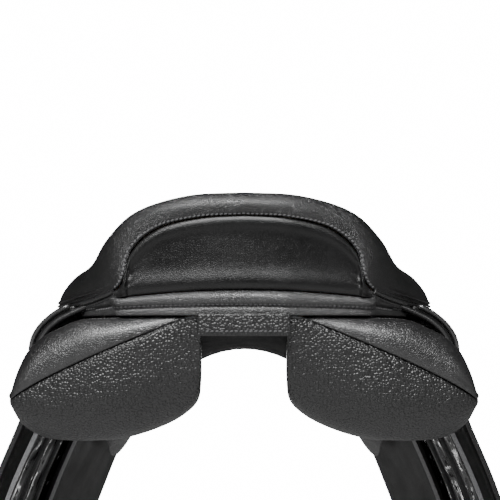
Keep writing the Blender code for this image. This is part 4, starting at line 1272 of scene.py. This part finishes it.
# Plain CAD pieces that keep their shape and get a finish
FINISH = {
    "channel_lining": LINING, "panel_front_arch": FACING, "seat_foam": FOAM, "seat_webbing": WEBBING,
    "tree_frame": WOOD, "head_arch": WOOD, "gullet_plate": STEEL, "head_plate": STEEL,
}
for _, word in SIDES:
    FINISH["stirrup_leather_keeper_" + word] = FLAP_LOOK
    FINISH["d_ring_chape_" + word] = SKIRT_LOOK
    for name in ("stirrup_bar_", "bar_catch_", "bar_catch_pin_", "d_ring_"):
        FINISH[name + word] = STEEL
    for strap in STRAPS:
        FINISH[f"girth_web_{strap}_{word}"] = TAPE
for name, mat in FINISH.items():
    obj = frame["nodes"][name]
    obj.data.materials.clear()
    obj.data.materials.append(mat)

# Stitching
bpy.context.view_layer.update()
line = [p + UP * 0.0016 for p in smooth_curve(WELT, FACING_COUNT)[:FACING_CORNER + 1]]
stitches("cantle_stitches", mirrored_line(line), seat, THREAD, "saddle", CANTLE_ROW)
line = []
for x, y, high in strip_path():
    low = strip_low(x, y)
    line.append(Vector((x, y - 0.004, low + (high - low) * 0.375)))
stitches("strip_stitches", line, strip, THREAD, "saddle", HEM_ROW)
line = [Vector((-0.031 + 0.062 * k / 20, REAR_Y - 0.006, PANEL_TOP_Z - 0.0115)) for k in range(21)]
stitches("tab_stitches", line, tab, THREAD, "saddle", HEM_ROW)
EDGES = (
    ("flap", (FOLD_S + 0.002, S_LAST), FLAP, flap_offset, FLAP_T, 0.0065),
    ("skirt", (SKIRT_TOP_S, SKIRT_END_S), SKIRT, skirt_offset, SKIRT_T, 0.0050),
)
for hand, word in SIDES:
    for sheet, (kind, ends, outline, offset, thick, inset) in zip(layers[word], EDGES):
        line = edge_line(hand, ends, outline, lambda s: offset(s) + thick, inset)
        stitches(f"{kind}_edge_stitches_{word}", line, sheet, DARK_THREAD, f"{kind}_body_{word}", EDGE_ROW)

# Stage
floor_mat, _, floor_shader = material_start("floor", (0.62, 0.62, 0.62), 0.9)
floor_shader.inputs["Emission Color"].default_value = (1.0, 1.0, 1.0, 1.0)
floor_shader.inputs["Emission Strength"].default_value = 0.04
bpy.ops.mesh.primitive_circle_add(vertices=96, radius=8.2, fill_type="NGON", location=(0, 0, -0.9))
floor = bpy.context.object
floor.name = "floor"
floor.data.materials.append(floor_mat)

# A bright patch straight ahead of the photo's camera gives the plain white ground, and the rest lights softly
world = bpy.data.worlds.new("studio")
bpy.context.scene.world = world
world.use_nodes = True
ground = world.node_tree
sky = ground.nodes["Background"]
sky.inputs["Color"].default_value = (1.0, 1.0, 1.0, 1.0)
way = node(ground, "ShaderNodeSeparateXYZ")
join(node(ground, "ShaderNodeTexCoord").outputs["Generated"], way.inputs[0])
patch = map_range(way.outputs["Y"], (0.04, 16.0), (0.980, 0.988), interpolation_type="SMOOTHSTEP")
across = maths("ABSOLUTE", way.outputs["X"])
flank = map_range(across, (0.0, 0.7), (0.86, 0.97), interpolation_type="SMOOTHSTEP")
join(maths("ADD", patch, flank), sky.inputs["Strength"])


def area_light(name, place, target, size, power, size_y):
    data = bpy.data.lights.new(name, "AREA")
    data.shape = "RECTANGLE"
    data.size = size
    data.size_y = size_y
    data.energy = power
    lamp = new_object(name, data)
    lamp.location = place
    lamp.rotation_euler = (Vector(target) - Vector(place)).to_track_quat("-Z", "Y").to_euler()


area_light("key", (-0.4, -1.85, 1.95), (0, -0.2, 0.12), 1.8, 190, 0.9)
area_light("low_key", (-0.3, -2.05, 1.74), (0, -0.2, 0.15), 1.8, 26, 0.22)
area_light("left", (-1.7, -1.1, 0.5), (0, -0.15, 0.05), 0.4, 5, 1.0)
area_light("right", (1.7, -1.1, 0.5), (0, -0.15, 0.05), 0.4, 5, 1.0)

for hand, word in SIDES:
    area_light("glint_" + word, (-hand * 0.31, 1.0, -0.36), (hand * 0.18, -0.05, -0.05), 0.035, 0.14, 0.11)

camera_data = bpy.data.cameras.new("photo")
camera = new_object("photo", camera_data)
camera.location = (CAMERA_X, REAR_Y - CAMERA_AWAY, CAMERA_Z)
camera.rotation_euler = (radians(90), 0, 0)
camera_data.sensor_width = 36.0
camera_data.lens = 36.0 * CAMERA_AWAY / FRAME_WIDTH
bpy.context.scene.camera = camera

settle()
